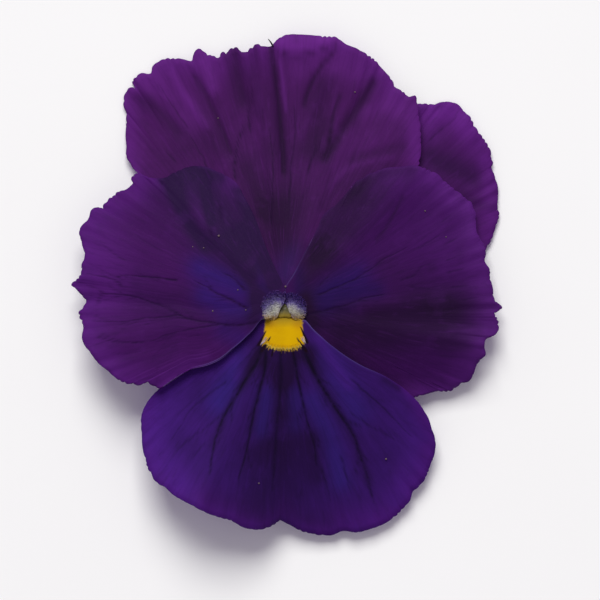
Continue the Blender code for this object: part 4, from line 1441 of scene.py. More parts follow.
def make_petal(petal):
    """The finished petal. Gives back the grid of its middle, for what lies on it."""
    grid, facts = petal_surface(petal)
    lay_strokes(petal, grid, facts)
    kept = {fact: facts[fact] for fact in KEPT_FACTS}
    if petal is lower:
        add_eye(grid, kept)
    thickness = PETAL_THICKNESS * (1 - MARGIN_THINNING * facts["margin"])
    piece = closed_sheet(petal.name, grid, thickness, kept, [petal_face(petal), petal_back(petal)])
    fan = np.stack([facts["share"] * FAN_STREAKS, facts["s"] * FAN_LENGTHS, facts["s"] * 0 + petal.seed], -1)
    held = piece.data.attributes.new("fan", "FLOAT_VECTOR", "POINT")
    fan = on_sheet(fan.reshape(-1, 3), boundary(*grid.shape[:2]))
    held.data.foreach_set("vector", fan.astype(np.float32).ravel())
    keep(piece, petal.slot, petal.node)
    return grid


surfaces = {petal.name: make_petal(petal) for petal in PETALS}
for name, grid in surfaces.items():
    heights = grid[..., 2]
    print(name, "from", round(float(heights.min()), 2), "to", round(float(heights.max()), 2), "mm high")

# %% [markdown]
# ## Round pieces
#
# Spur, stalk, pistil and hairs are all round in section and bend. They are swept: a ring of points is
# carried along a smooth line of stations, each a place and a radius, and may be grooved or flattened on the
# way, which a bevelled curve couldn't be.

# %% Sweep a ring along stations
NUMBER_STEP = 0.618034  # a step that spreads the numbers of repeated parts evenly from 0 to 1


def sweep(stations, sides, samples, shape=None):
    """Points, faces and shares of the length. shape changes the radius by angle and share."""
    rows = [(i, *place, radius) for i, (place, radius) in enumerate(stations)]
    steps = np.linspace(0, len(rows) - 1, samples)
    x, y, z, radius = (through(rows, steps, column) for column in (1, 2, 3, 4))
    line = np.column_stack([x, y, z])
    ahead = unit(np.gradient(line, axis=0))
    across = unit(np.cross(ahead, (1.0, 0.0, 0.0)))
    beside = np.cross(across, ahead)
    angle = np.linspace(0, 2 * np.pi, sides, endpoint=False)
    share = (steps / steps[-1])[:, None] * np.ones(sides)
    size = radius[:, None] * (shape(angle[None, :], share) if shape else 1)
    ring = beside[:, None] * np.cos(angle)[None, :, None] + across[:, None] * np.sin(angle)[None, :, None]
    points = line[:, None] + ring * size[..., None]
    numbers = np.arange(samples * sides).reshape(samples, sides)
    ends = [numbers[0, ::-1].tolist(), numbers[-1].tolist()]
    return points.reshape(-1, 3), ring_of_quads(numbers).tolist() + ends, share.reshape(-1)


def round_piece(name, parts, finish, facts=None):
    """One mesh object from several swept parts, with its share of the length kept at each point."""
    points, faces, shares, numbers = [], [], [], []
    start = 0
    for number, (places, quads, share) in enumerate(parts):
        points.append(places)
        faces += [[corner + start for corner in quad] for quad in quads]
        shares.append(share)
        numbers.append(np.full(len(places), number * NUMBER_STEP % 1))
        start += len(places)
    made = mesh_piece(name, np.concatenate(points), faces, [finish])
    listed = {"along": shares, "number": numbers, **(facts or {})}
    store_facts(made.data, {fact: np.concatenate(values) for fact, values in listed.items()})
    return made


print("a swept ring of 6 has", len(sweep([((0, 0, 0), 1), ((0, 0, 1), 1)], 6, 3)[1]), "faces")

# %% [markdown]
# ## The spur
#
# The lower petal carries a blunt pouch of nectar behind it, which the flower also stands on. It is green
# where it leaves the throat and violet at its end, with a few lengthwise veins.

# %% Spur
SPUR_STATIONS = [
    ((0, -3.55, 8.5), 1.55),
    ((0, -3.6, 8.1), 1.42),
    ((0, -3.9, 6.4), 1.2),
    ((0, -4.2, 4.4), 1.1),
    ((0, -4.4, 2.4), 1.15),
    ((0, -4.5, 1.0), 1.08),
    ((0, -4.5, 0.4), 0.93),
    ((0, -4.5, 0.1), 0.74),
    ((0, -4.5, 0.0), 0.5),
]
SPUR_RIDGES = 6
SPUR_RIDGE_HEIGHT = 0.025

spur_finish, tree, shader = new_finish("spur", roughness=0.5, sheen=0.1, specular=0.4)
stretch = {"Vector": on_object(tree), "Scale": (1, 1, 0.12)}
lines = noise(tree, add_node(tree, "ShaderNodeMapping", stretch).outputs["Vector"], 2600.0)
colour = mix(tree, spread(tree, measured(tree, "along"), 0.2, 0.85), tone(150, 158, 96), tone(112, 84, 150))
colour = mix(tree, spread(tree, lines, 0.5, 0.66, 0.0, 0.6), colour, tone(92, 70, 110))
paint(tree, shader, colour, bump(tree, lines, 0.1, 0.6))


def spur_shape(angle, share):
    """Low ridges along the spur that fade at both ends."""
    return 1 + SPUR_RIDGE_HEIGHT * np.cos(angle * SPUR_RIDGES) * np.sin(np.pi * share)


spur = round_piece("lower_petal_spur", [sweep(SPUR_STATIONS, 40, 60, spur_shape)], spur_finish)
keep(spur, "petal_lower", "petal_lower")
print("spur:", len(spur.data.polygons), "faces")

# %% [markdown]
# ## Beards and fringe
#
# On each side of the throat the side petals carry a tuft of short clubbed hairs. Each is a bent tube of its
# own, swept like the spur, because the tufts show as separate threads up close.

# %% Hair
HAIR_CURVE = (0, 0.3, 0.6, 0.85, 1)
HAIR_END = 0.45


def hair(root, bend, tip, radius, club=1.0, sides=4, samples=5):
    """A thin tube from root to tip, pulled towards bend, that swells near its tip when club is over 1."""
    root, bend, tip = (np.asarray(place, float) for place in (root, bend, tip))
    stations = []
    for w in HAIR_CURVE:
        place = root * (1 - w) ** 2 + bend * 2 * w * (1 - w) + tip * w * w
        swelling = 1 + (club - 1) * math.sin(math.pi * w * 0.62)
        stations.append((tuple(place), radius * swelling * (HAIR_END if w == 1 else 1)))
    return sweep(stations, sides, samples)


print("a hair has", len(hair((0, 0, 0), (0, 0, 1), (0, 1, 1), 0.05)[1]), "faces")

# %% [markdown]
# The left tuft is white where the light falls on it, and the right one gets greyer tones, which are painted
# shade. Away from its middle a tuft turns lilac, then as dark as the petal, and next to the eye it is tinged
# golden.

# %% Finish of a beard
LILAC = tone(102, 84, 158)
DUSK = tone(46, 29, 86)
GOLDEN = tone(196, 152, 38)
SCATTER_WEIGHT = 0.6
SCATTER_REACH = 0.0004


def beard_finish(name, light, dark):
    """Hairs between two tones, with the colours of the beard's edge laid over them."""
    made, tree, shader = new_finish(name, specular=0.05)
    shader.inputs["Subsurface Weight"].default_value = SCATTER_WEIGHT
    shader.inputs["Subsurface Radius"].default_value = (1.0, 1.0, 1.0)
    shader.inputs["Subsurface Scale"].default_value = SCATTER_REACH
    colour = mix(tree, measured(tree, "number"), light, dark)
    clouds = noise(tree, on_object(tree), 3000.0)
    colour = mix(tree, spread(tree, clouds, 0.5, 0.75, 0.0, 0.35), colour, dark)
    for fact, edge_tone in (("lilac", LILAC), ("dusk", DUSK), ("golden", GOLDEN)):
        colour = mix(tree, measured(tree, fact), colour, edge_tone)
    paint(tree, shader, colour)
    return made


print("light reaches into a hair, in millimetres:", round(SCATTER_REACH / MM, 1))

# %% [markdown]
# Both beards are made by the same steps, so each is only a description: where it lies, how its mound rises,
# and where its colours change.


# %% What describes a beard
@dataclass
class Beard:
    """One beard. Places are in the photograph's pixels, and other sizes in millimetres."""

    name: str
    outline: list
    middle: list  # the line of its whitest places
    comb: tuple  # the hairs point away from this place
    ramp: list  # height of the mound at distances above the middle of the throat
    rise: float  # how much the mound rises towards its side, per millimetre
    fall: float  # and how fast it falls further out
    lilac: tuple  # how far from the middle white turns lilac
    dusk: tuple  # and lilac as dark as the petal
    light: tuple
    dark: tuple


BEARDS = (
    Beard(
        name="beard_left",
        outline=[
            (284.3, 295), (277, 293.5), (270.5, 295), (266, 298.5), (264.3, 303.5), (264.3, 309.5),
            (265.5, 314.5), (267.5, 318), (273, 319.2), (277.5, 317.2), (279.3, 312), (281.8, 306.5),
            (284.2, 303.3),
        ],
        middle=[(277, 310), (271.5, 315)],
        comb=(282.5, 311),
        ramp=[(-1.3, 9.0), (-0.9, 9.14), (-0.5, 9.42), (0.0, 9.75), (0.4, 9.95), (1.2, 10.1), (2.8, 10.05)],
        rise=0.55,
        fall=0.0,
        lilac=(0.15, 1.25),
        dusk=(1.3, 2.05),
        light=tone(248, 248, 232),
        dark=tone(228, 228, 212),
    ),
    Beard(
        name="beard_right",
        outline=[
            (284.3, 295), (284.3, 303.3), (286.4, 306.5), (288.3, 310.5), (290.3, 314.5), (291.8, 318.2),
            (297, 319), (301.5, 317.8), (303.8, 312.5), (304, 305), (301, 299.5), (296, 296), (290.5, 294),
        ],
        middle=[(290.5, 310), (298.5, 315.5)],
        comb=(286, 312),
        ramp=[
            (-1.3, 9.0), (-0.9, 9.1), (-0.5, 9.32), (0.0, 9.52), (0.4, 9.6), (1.2, 9.4), (2.0, 8.85),
            (2.8, 8.1),
        ],
        rise=0.0,
        fall=0.3,
        lilac=(0.1, 1.0),
        dusk=(0.85, 1.5),
        # greyer than the left tuft's tones: painted shade
        light=tone(226, 223, 204),
        dark=tone(204, 201, 184),
    ),
)
print("beards:", ", ".join(beard.name for beard in BEARDS))

# %% [markdown]
# The hairs stand on a soft swelling, so each beard is a low mound. It ramps down to the eye, and it never
# sinks into the left side petal, whose face is measured where it passes under the beards.

# %% The mound and its colours
HIGHEST_HAIR = 10.34
HAIRS_ABOVE_MOUND = 0.12
MOUND_ABOVE_SKIN = 0.06
MOUND_FLAT = 0.3  # half the width of the mound's level middle
RISE_FROM = ((-1.2, -0.5), (0.25, 1))  # distances above the throat, and shares of the rise there
SKIN_REACH = 4.5
SKIN_GAP = 0.25
GOLDEN_REACH = (-0.05, -1.1)

throat_skin = surfaces[side_left.name].reshape(-1, 3)
throat_skin = throat_skin[np.hypot(throat_skin[:, 0], throat_skin[:, 1]) < SKIN_REACH]


def face_height(spots):
    """How high the left side petal's face stands at places near the throat, and nothing beside it."""
    flat = spots.reshape(-1, 2)
    gap = np.hypot(throat_skin[:, :1] - flat[:, 0], throat_skin[:, 1:2] - flat[:, 1])
    height = throat_skin[gap.argmin(axis=0), 2] + PETAL_THICKNESS / 2
    return np.where(gap.min(axis=0) < SKIN_GAP, height, 0.0).reshape(spots.shape[:-1])


def mound(beard, spots):
    """Height of a beard's swelling: its ramp, its fall and rise to the sides, and always above the petal."""
    middle = from_photo(beard.middle)[:, 0].mean()
    aside = np.maximum(np.abs(spots[..., 0] - middle) - MOUND_FLAT, 0)
    towards_stigma = (spots[..., 0] > middle) == (middle < 0)
    height = np.interp(spots[..., 1], *zip(*beard.ramp)) - beard.fall * aside**2
    rise = beard.rise * np.interp(spots[..., 1], *RISE_FROM)
    height = height + np.where(towards_stigma, 0, rise * aside)
    height = np.maximum(height, face_height(spots) + MOUND_ABOVE_SKIN)
    return np.minimum(height, HIGHEST_HAIR - HAIRS_ABOVE_MOUND)


def beard_colours(beard, spots, wobble=0.0):
    """How lilac, how dusky and how golden a beard is at places."""
    start, end = from_photo(beard.middle)
    share = np.clip((spots - start) @ (end - start) / ((end - start) @ (end - start)), 0, 1)
    away = spots - start - share[..., None] * (end - start)
    gap = np.hypot(away[..., 0], away[..., 1]) + wobble
    colours = {}
    for fact, value, (near, far) in (
        ("lilac", gap, beard.lilac),
        ("dusk", gap, beard.dusk),
        ("golden", spots[..., 1] + wobble, GOLDEN_REACH),
    ):
        colours[fact] = np.clip((value - near) / (far - near), 0, 1)
    return colours


left_height = mound(BEARDS[0], from_photo(BEARDS[0].middle))
print("left swelling along its middle, in millimetres:", left_height.round(2))

# %% [markdown]
# The hairs are strewn at random inside the outline, and they point away from the comb. The swelling below
# them is lumpy, round at its edge and closed below.

# %% Combed hairs and their swelling
BEARD_HAIRS = 900
HAIR_LENGTHS = (0.3, 0.55)
HAIR_LIFTS = (0.06, 0.2)
HAIR_RADII = (0.02, 0.03)
HAIR_ROOT = 0.06
HAIR_ARCH = 0.14
HAIR_CLUB = 1.4
PAD_RINGS = 16
PAD_SIDES = 64
PAD_DEPTH = 1.1
PAD_LUMPS = 0.015
PAD_EDGE_FALL = 0.35


def inside(place, outline):
    """Whether a place lies inside a closed outline."""
    x, y = place
    crossed = False
    for (ax, ay), (bx, by) in zip(outline, np.roll(outline, -1, axis=0)):
        if (ay > y) != (by > y) and x < (bx - ax) * (y - ay) / (by - ay) + ax:
            crossed = not crossed
    return crossed


def spots_inside(outline, count, draw):
    """Random places inside a closed outline."""
    low, high = outline.min(axis=0), outline.max(axis=0)
    found = []
    while len(found) < count:
        place = (draw.uniform(low[0], high[0]), draw.uniform(low[1], high[1]))
        if inside(place, outline):
            found.append(np.array(place))
    return found


def combed_hairs(beard, seed):
    """The hairs of a beard, and the colour facts at their points."""
    draw = random.Random(seed)
    comb = from_photo([beard.comb])[0]
    parts, facts = [], {"lilac": [], "dusk": [], "golden": []}
    for spot in spots_inside(from_photo(beard.outline), BEARD_HAIRS, draw):
        away = (spot - comb) / max(np.linalg.norm(spot - comb), 0.1)
        aside = np.array([-away[1], away[0]]) * draw.uniform(-0.35, 0.35)
        end = spot + (away + aside) * draw.uniform(*HAIR_LENGTHS)
        root = np.array([*spot, mound(beard, spot) - HAIR_ROOT])
        tip = np.array([*end, min(mound(beard, end) + draw.uniform(*HAIR_LIFTS), HIGHEST_HAIR)])
        bend = root * 0.55 + tip * 0.45 + np.array([0, 0, HAIR_ARCH])
        bend[2] = min(bend[2], HIGHEST_HAIR)
        parts.append(hair(root, bend, tip, draw.uniform(*HAIR_RADII), HAIR_CLUB))
        for fact, share in beard_colours(beard, (spot + end) / 2, draw.uniform(-0.2, 0.2)).items():
            facts[fact].append(np.full(len(parts[-1][0]), share))
    return parts, facts


def pad(beard, seed):
    """The swelling that the hairs stand on, and the colour facts at its points."""
    draw = random.Random(seed)
    outline = from_photo(beard.outline)
    middle = from_photo(beard.middle).mean(axis=0)
    edge = smooth_line(np.concatenate([outline, outline[:1]]), PAD_SIDES + 1)[:-1]
    w = np.linspace(0.02, 1, PAD_RINGS)[:, None, None]
    flat = middle + (edge - middle)[None] * w
    waves = [(draw.uniform(3, 9), draw.uniform(-9, 9), draw.uniform(0, 6)) for _ in range(5)]
    lumps = sum(np.sin(flat[..., 0] * a + flat[..., 1] * b + c) for a, b, c in waves)
    height = mound(beard, flat) + PAD_LUMPS * lumps - PAD_EDGE_FALL * w[..., 0] ** 8
    top = np.concatenate([flat, height[..., None]], -1)
    below = top - np.array([0, 0, PAD_DEPTH])
    points = np.concatenate([top.reshape(-1, 3), below[::-1].reshape(-1, 3)])
    numbers = np.arange(2 * PAD_RINGS * PAD_SIDES).reshape(-1, PAD_SIDES)
    turned = np.roll(numbers, -1, axis=1)
    quads = np.stack([numbers[:-1], numbers[1:], turned[1:], turned[:-1]], -1).reshape(-1, 4).tolist()
    ends = [numbers[0].tolist(), numbers[-1, ::-1].tolist()]
    return (points, quads + ends, points[:, 0] * 0), beard_colours(beard, points[:, :2])


for number, beard in enumerate(BEARDS):
    parts, facts = combed_hairs(beard, 40 + number)
    cushion, colours = pad(beard, 50 + number)
    parts.append(cushion)
    for fact, values in colours.items():
        facts[fact].append(values)
    made = round_piece(beard.name, parts, beard_finish(beard.name, beard.light, beard.dark), facts)
    keep(made, "petal_lateral")
    print(beard.name, "has", len(parts) - 1, "hairs")

# %% [markdown]
# The lower edge of the eye ends in finer hairs that lie flat, with a small tuft at each of its two corners.
# They are laid in clumps, because an even comb would look like a brush.

# %% Fringe of the eye
FRINGE_HAIRS = 260
FRINGE_LINE = [
    (265.5, 344.2), (268.5, 346), (272, 347.5), (278, 348.5), (285, 349), (293, 348.5), (298, 347),
    (301, 345),
]
FRINGE_FROM = (284.5, 318)
FRINGE_SEED = 60
FRINGE_CLUMP = 5
FRINGE_RADII = (0.014, 0.024)
CORNER_TUFTS = (((267, 337), (260.8, 344.3)), ((302, 336), (305.3, 343)))
CORNER_HAIRS = 26
CORNER_RADII = (0.018, 0.028)
ROWS_NEAR_EYE = 20


def height_at(skin, spot):
    """Height of the top of a petal's sheet at its point nearest to a spot."""
    nearest = skin[np.argmin((skin[:, 0] - spot[0]) ** 2 + (skin[:, 1] - spot[1]) ** 2)]
    return nearest[2] + PETAL_THICKNESS / 2


def lying_hair(skin, spots, lifts, arch, radius):
    """A hair that lies on a petal from one spot to another, lifted at each end and arched between."""
    root, tip = (np.array([*spot, height_at(skin, spot) + lift]) for spot, lift in zip(spots, lifts))
    return hair(root, (root + tip) / 2 + np.array([0, 0, arch]), tip, radius)


def fringe():
    """Fine hairs that lie on the lower petal across the lower edge of the eye, and how pale each is."""
    draw = random.Random(FRINGE_SEED)
    skin = surfaces[lower.name][CLAW_ROWS : CLAW_ROWS + ROWS_NEAR_EYE].reshape(-1, 3)
    centre = from_photo([FRINGE_FROM])[0]
    parts, pale = [], []
    for number, place in enumerate(smooth_line(from_photo(FRINGE_LINE), FRINGE_HAIRS)):
        if number % FRINGE_CLUMP == 0:
            clump = draw.uniform(-0.12, 0.3)
        away = unit(place - centre)
        inner = place - away * draw.uniform(0.3, 0.7)
        outer = place + away * (clump + draw.uniform(-0.05, 0.08))
        parts.append(lying_hair(skin, (inner, outer), (0, 0.05), 0.1, draw.uniform(*FRINGE_RADII)))
        pale.append(np.zeros(len(parts[-1][0])))
    for start, end in (from_photo(pair) for pair in CORNER_TUFTS):
        for _ in range(CORNER_HAIRS):
            aside = np.array([draw.gauss(0, 0.09), draw.gauss(0, 0.09)])
            reach = draw.uniform(0.55, 1.05)
            inner = start + aside * 1.5 + (end - start) * (reach - 0.55)
            outer = start + (end - start) * reach + aside
            parts.append(lying_hair(skin, (inner, outer), (0.02, 0.02), 0.12, draw.uniform(*CORNER_RADII)))
            pale.append(np.full(len(parts[-1][0]), min(max(1.6 * reach - 0.7, 0), 1)))
    return parts, {"pale": pale}


fringe_finish, tree, shader = new_finish("eye_fringe", roughness=0.7, specular=0.02)
colour = mix(tree, measured(tree, "number"), tone(206, 160, 6), tone(200, 162, 22))
colour = mix(tree, spread(tree, measured(tree, "along"), 0.35, 0.9), colour, tone(186, 172, 92))
colour = mix(tree, measured(tree, "pale"), colour, tone(186, 174, 200))
paint(tree, shader, colour)
parts, facts = fringe()
eye_fringe = round_piece("eye_fringe", parts, fringe_finish, facts)
keep(eye_fringe, "petal_lower")
print("eye fringe:", len(parts), "hairs")

# %% [markdown]
# ## Pistil and stamens
#
# Deep in the throat a round ovary carries a bent style whose swollen green end, the stigma, shows between
# the beards. All three are one swept piece.

# %% Pistil
PISTIL_BASE = CUP_TOP + SEAT_GAP
PISTIL_STATIONS = [
    ((0, 0.8, PISTIL_BASE), 0.42),
    ((0, 0.8, PISTIL_BASE + 0.5), 0.62),
    ((0, 0.8, PISTIL_BASE + 1.5), 0.62),
    ((0, 0.8, PISTIL_BASE + 2.3), 0.34),
    ((0, 0.6, PISTIL_BASE + 2.7), 0.3),
    ((0, 0.35, PISTIL_BASE + 3.2), 0.5),
    ((0, 0.15, PISTIL_BASE + 3.6), 0.95),
    ((0, 0.0, PISTIL_BASE + 3.98), 1.12),
    ((0, -0.03, PISTIL_BASE + 4.25), 1.0),
    ((0, -0.03, PISTIL_BASE + 4.36), 0.5),
]
STIGMA_FROM = 0.6  # share of the pistil's length

pistil_finish, tree, shader = new_finish("pistil", roughness=0.45, specular=0.45)
spots = noise(tree, on_object(tree), 2400.0)
colour = mix(tree, spread(tree, spots, 0.35, 0.65), tone(85, 81, 35), tone(67, 63, 28))
colour = mix(tree, spread(tree, measured(tree, "along"), 0.7, 0.45, 0.0, 0.7), colour, tone(150, 168, 96))
colour = mix(tree, measured(tree, "golden"), colour, tone(150, 126, 20))
paint(tree, shader, colour, bump(tree, spots, 0.08, 0.7))


def stigma_shape(angle, share):
    """The head narrows to a point at its upper side, with a shallow lip at its lower side."""
    head = np.clip((share - 0.55) / 0.2, 0, 1)
    return 1 - 0.36 * head * (0.5 - 0.5 * np.cos(3 * (angle - np.pi / 2)))


pistil_part = sweep(PISTIL_STATIONS, 36, 60, stigma_shape)
points, faces, share = pistil_part
golden = np.clip((0.1 - points[:, 1]) / 0.8, 0, 1) * (share > STIGMA_FROM)
pistil = round_piece("pistil_fine", [pistil_part], pistil_finish, {"golden": [golden]})
keep(pistil, "pistil", "pistil")
print("pistil:", len(faces), "faces")

# %% [markdown]
# Five flat anthers close round the ovary, each with an orange tip. One is swept upright, and turned copies
# of it make the ring.

# %% Stamens
FIVE_ROUND = [(90 + 72 * number) % 360 for number in range(5)]
STAMEN_RING = 1.27
ANTHER_PROFILE = [  # height and radius
    (0, 0.2), (0.15, 0.42), (0.7, 0.56), (1.5, 0.56), (2.1, 0.5), (2.4, 0.42), (2.75, 0.26), (2.88, 0.06),
]
ANTHER_FLATNESS = 0.52
ANTHER_GROOVE = 0.12

stamen_finish, tree, shader = new_finish("stamen", specular=0.3)
dust = noise(tree, on_object(tree), 5000.0, 2.0)
colour = mix(tree, dust, tone(226, 204, 140), tone(204, 170, 92))
colour = mix(tree, spread(tree, measured(tree, "along"), 0.78, 0.86), colour, tone(196, 112, 30))
paint(tree, shader, colour, bump(tree, dust, 0.06, 0.8))


def anther_shape(angle, share):
    """Flat across the ring, with a groove between its two pollen sacs."""
    flat = 1 / np.hypot(np.cos(angle), np.sin(angle) / ANTHER_FLATNESS)
    groove = np.exp(-((np.abs(np.sin(angle)) - 1) / 0.08) ** 2) * (share < 0.75)
    return flat * (1 - ANTHER_GROOVE * groove)


stations = [((0, 0, height), radius) for height, radius in ANTHER_PROFILE]
upright, faces, share = sweep(stations, 24, 30, anther_shape)
for number, direction in enumerate(FIVE_ROUND, 1):
    centre = towards(np.array(float(direction)), STAMEN_RING, RING_CENTRE)
    turn = math.radians(direction - 90)
    spin = np.array([[math.cos(turn), math.sin(turn)], [-math.sin(turn), math.cos(turn)]])
    points = np.column_stack([upright[:, :2] @ spin, upright[:, 2]]) + centre
    points[:, 2] += CUP_TOP + SEAT_GAP
    stamen = round_piece(f"anther_{number}", [(points, faces, share)], stamen_finish)
    keep(stamen, "stamen", f"stamen_{number}")
print("anthers:", len(FIVE_ROUND))

# %% [markdown]
# ## Sepals
#
# Behind the petals, five green sepals hug the bloom. Each has a midrib with side veins, a pale thin margin,
# and a small lobe that points back along the stalk. Like a petal it is a closed sheet.

# %% Sepals
SEPAL_LENGTH = 12.0
SEPAL_RING = 3.35
SEPAL_LEVEL = -1.3
SEPAL_HALF_WIDTH = 1.8
SEPAL_THICKNESS = 0.4
SEPAL_BACK = [(0, 4.3, 0.35, 2.7), (1, 3.65, 0.75, 3.2), (2, 3.35, 0.8, 3.95), (3, 3.7, 0.95, 4.65)]
BACK_SPAN = 3  # rows are counted from 0 at the end of the back lobe, over 3 where the blade begins, to 9
BLADE_SPAN = 6
SEPAL_GRID = (64, 28)
SEPAL_SEED = 80

sepal_finish, tree, shader = new_finish("sepal", roughness=0.5)
clouds = noise(tree, on_object(tree), 900.0)
colour = mix(tree, clouds, tone(84, 112, 46), tone(108, 134, 60))
colour = mix(tree, measured(tree, "rib"), colour, tone(146, 164, 92))
colour = mix(tree, measured(tree, "pale_edge"), colour, tone(176, 186, 132))
colour = mix(tree, spread(tree, measured(tree, "tip"), 0.7, 1.0, 0.0, 0.5), colour, tone(96, 62, 96))
paint(tree, shader, colour, bump(tree, clouds, 0.08, 0.6))


def sepal_grid(direction, draw):
    """The middle of a sepal's sheet: a back lobe, then a blade that lies under the petals."""
    rows = np.linspace(0, BACK_SPAN + BLADE_SPAN, SEPAL_GRID[0])[:, None]
    side = np.linspace(-1, 1, SEPAL_GRID[1])[None, :]
    share = np.clip((rows - BACK_SPAN) / BLADE_SPAN, 0, 1)
    on_back = rows <= BACK_SPAN
    turn = SEPAL_BACK[-1][1]
    distance = np.where(on_back, through(SEPAL_BACK, rows), turn + (SEPAL_RING + SEPAL_LENGTH - turn) * share)
    blade_width = 0.2 + SEPAL_HALF_WIDTH * np.sin(np.pi * (0.15 + 0.85 * share)) ** 0.8
    width = np.where(on_back, through(SEPAL_BACK, rows, 2), blade_width)
    width = width * (1 + 0.03 * np.sin(rows * 9 + draw.uniform(0, 6)))
    along = towards(direction + 0 * rows, distance, RING_CENTRE)
    places = along + towards(direction + 90 + 0 * rows, width * side)
    under = face(places[..., 0], places[..., 1]) + SEPAL_LEVEL - 0.25 * (1 - side**2) * np.sin(np.pi * share)
    settle = np.clip(rows - BACK_SPAN, 0, 1) ** 2
    ribs = np.exp(-((side / 0.1) ** 2)) + 0.5 * np.exp(-(((np.abs(side) - 0.45) / 0.07) ** 2))
    height = through(SEPAL_BACK, rows, 3) * (1 - settle) + under * settle - 0.06 * ribs
    places[..., 2] = np.maximum(height, SEPAL_THICKNESS / 2)
    facts = {
        "rib": np.clip(ribs, 0, 1) * (1 - 0.5 * share),
        "pale_edge": np.clip((np.abs(side) - 0.82) / 0.18, 0, 1) * np.ones_like(rows),
        "tip": share * np.ones_like(side),
    }
    return places, facts


for number, direction in enumerate(FIVE_ROUND, 1):
    places, facts = sepal_grid(float(direction), random.Random(SEPAL_SEED + number))
    sepal = closed_sheet(f"sepal_fine_{number}", places, SEPAL_THICKNESS, facts, [sepal_finish])
    keep(sepal, "sepal", f"sepal_{number}")
print("sepals:", len(FIVE_ROUND))

# %% [markdown]
# ## Stalk
#
# The stalk was picked short. It is ribbed, lies along the paper, and turns up into the receptacle, the cup
# that all the other pieces grow from. Its cut end shows paler pith.

# %% Stalk
STALK_STATIONS = [
    ((-4.6, 14.6, 0.8), 0.72),
    ((-4.0, 12.0, 0.76), 0.7),
    ((-3.0, 9.2, 0.76), 0.7),
    ((-1.9, 6.4, 0.85), 0.72),
    ((-0.8, 3.9, 1.15), 0.75),
    ((-0.2, 2.2, 1.75), 0.8),
    ((0, 1.3, 2.5), 0.95),
    ((0, 0.8, 3.2), 1.25),
    ((0, 0.8, 3.8), 1.95),
    ((0, 0.8, 4.2), 2.45),
    ((0, 0.8, 4.7), 2.6),
]
STALK_RIBS = 5
STALK_RIB_DEPTH = 0.03

stalk_finish, tree, shader = new_finish("stalk", roughness=0.45, specular=0.45)
clouds = noise(tree, on_object(tree), 1200.0)
colour = mix(tree, clouds, tone(96, 122, 52), tone(124, 146, 74))
colour = mix(tree, spread(tree, measured(tree, "along"), 0.012, 0.0), colour, tone(186, 196, 140))
paint(tree, shader, colour, bump(tree, clouds, 0.06, 0.6))


def stalk_shape(angle, share):
    """Ribs along the stalk that end before the cut and before the cup."""
    ribs = np.cos(angle * STALK_RIBS) * np.clip((share - 0.004) / 0.02, 0, 1)
    return 1 - STALK_RIB_DEPTH + STALK_RIB_DEPTH * ribs * np.clip((0.72 - share) / 0.1, 0, 1)


stalk = round_piece("stalk_fine", [sweep(STALK_STATIONS, 40, 140, stalk_shape)], stalk_finish)
keep(stalk, "stalk", "stalk")
print("stalk:", len(stalk.data.polygons), "faces")

# %% [markdown]
# ## Pollen
#
# A few grains of pollen and dust cling to the velvet. They are tiny, but they are what makes a real petal
# look touched by the garden, so the brightest ones lie where the photograph has them.

# %% Pollen grains
GRAINS = [  # petal, place in the photograph, and radius
    (side_left, 219, 236, 0.16), (side_left, 213, 311, 0.12), (side_left, 238, 290, 0.1),
    (side_left, 246, 310, 0.1), (side_left, 193, 247, 0.09), (side_left, 204, 248, 0.1),
    (side_right, 285.5, 286.7, 0.16), (upper_front, 355, 92, 0.12), (upper_front, 218, 118, 0.1),
    (lower, 386, 459, 0.14), (lower, 259, 483, 0.12), (side_right, 446, 237, 0.09),
    (side_right, 425, 211, 0.1),
]
GRAIN_PROFILE = ((0.0, 0.3), (0.12, 0.75), (0.5, 1.0), (0.88, 0.75), (1.0, 0.3))
GRAIN_HEIGHT = 1.6  # in radii
GRAIN_SUNK = 0.3

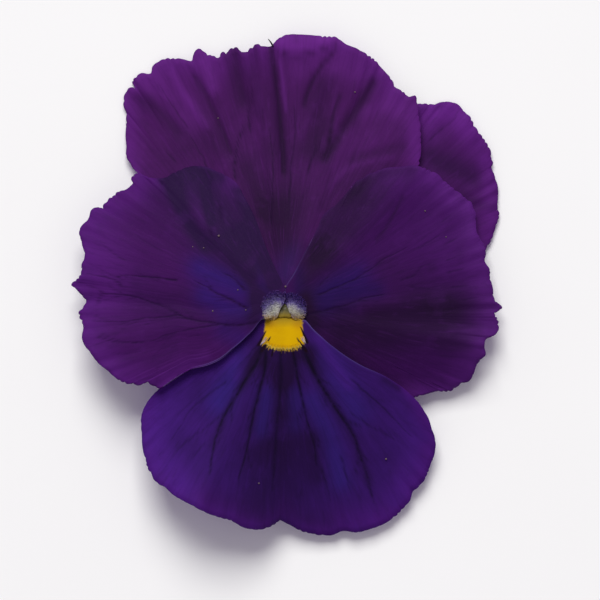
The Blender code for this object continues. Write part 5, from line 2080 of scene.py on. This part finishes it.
pollen_finish, tree, shader = new_finish("pollen", roughness=0.5)
paint(tree, shader, mix(tree, noise(tree, on_object(tree), 3000.0), tone(112, 92, 78), tone(84, 66, 92)))


def grain(petal, x, y, radius):
    """A small uneven bead that sits on a petal's face."""
    spot = from_photo([(x, y)])[0]
    low = height_at(surfaces[petal.name].reshape(-1, 3), spot) - radius * GRAIN_SUNK
    stations = [((*spot, low + GRAIN_HEIGHT * radius * w), radius * r) for w, r in GRAIN_PROFILE]
    return sweep(stations, 10, 9, lambda angle, share: 1 + 0.15 * np.sin(3 * angle + 9 * share))


pollen = round_piece("pollen", [grain(*row) for row in GRAINS], pollen_finish)
keep(pollen, "petal_lateral")
print("pollen grains:", len(GRAINS))

# %% [markdown]
# A dark dried shred, a few tenths of a millimetre wide, stands up from the notch in the front upper petal's
# edge. It is swept like a hair, with its foot on the petal.

# %% A dried shred
SHRED_LINE = [(273.2, 46.6), (271.8, 43.9), (270.2, 41.4), (268.2, 38.9)]
SHRED_RADII = (0.13, 0.12, 0.095, 0.045)
SHRED_LIFTS = (0.05, 0.12, 0.2, 0.24)

shred_finish, tree, shader = new_finish("dried_shred", roughness=0.7, specular=0.2)
paint(tree, shader, mix(tree, noise(tree, on_object(tree), 4000.0), tone(34, 32, 46), tone(22, 20, 28)))
line = from_photo(SHRED_LINE)
foot = height_at(surfaces[upper_front.name].reshape(-1, 3), line[0]) - PETAL_THICKNESS / 2
stations = [
    ((*spot, foot + lift), radius) for spot, lift, radius in zip(line, SHRED_LIFTS, SHRED_RADII)
]
shred = round_piece("dried_shred", [sweep(stations, 8, 9)], shred_finish)
keep(shred, "petal_upper")
print("the shred stands", round(float(foot), 2), "mm up at the notch")

# %% [markdown]
# ## Sizes
#
# The dressed flower fills the box of its plain solids, and the sharp tip of the left side petal reaches
# half a millimetre past it. Both boxes are written down to compare.

# %% Sizes and the end
visual_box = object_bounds()
for title, box in (("solids", cad_box), ("dressed", visual_box)):
    print(title, [round(value / MM, 2) for corner in box for value in corner])
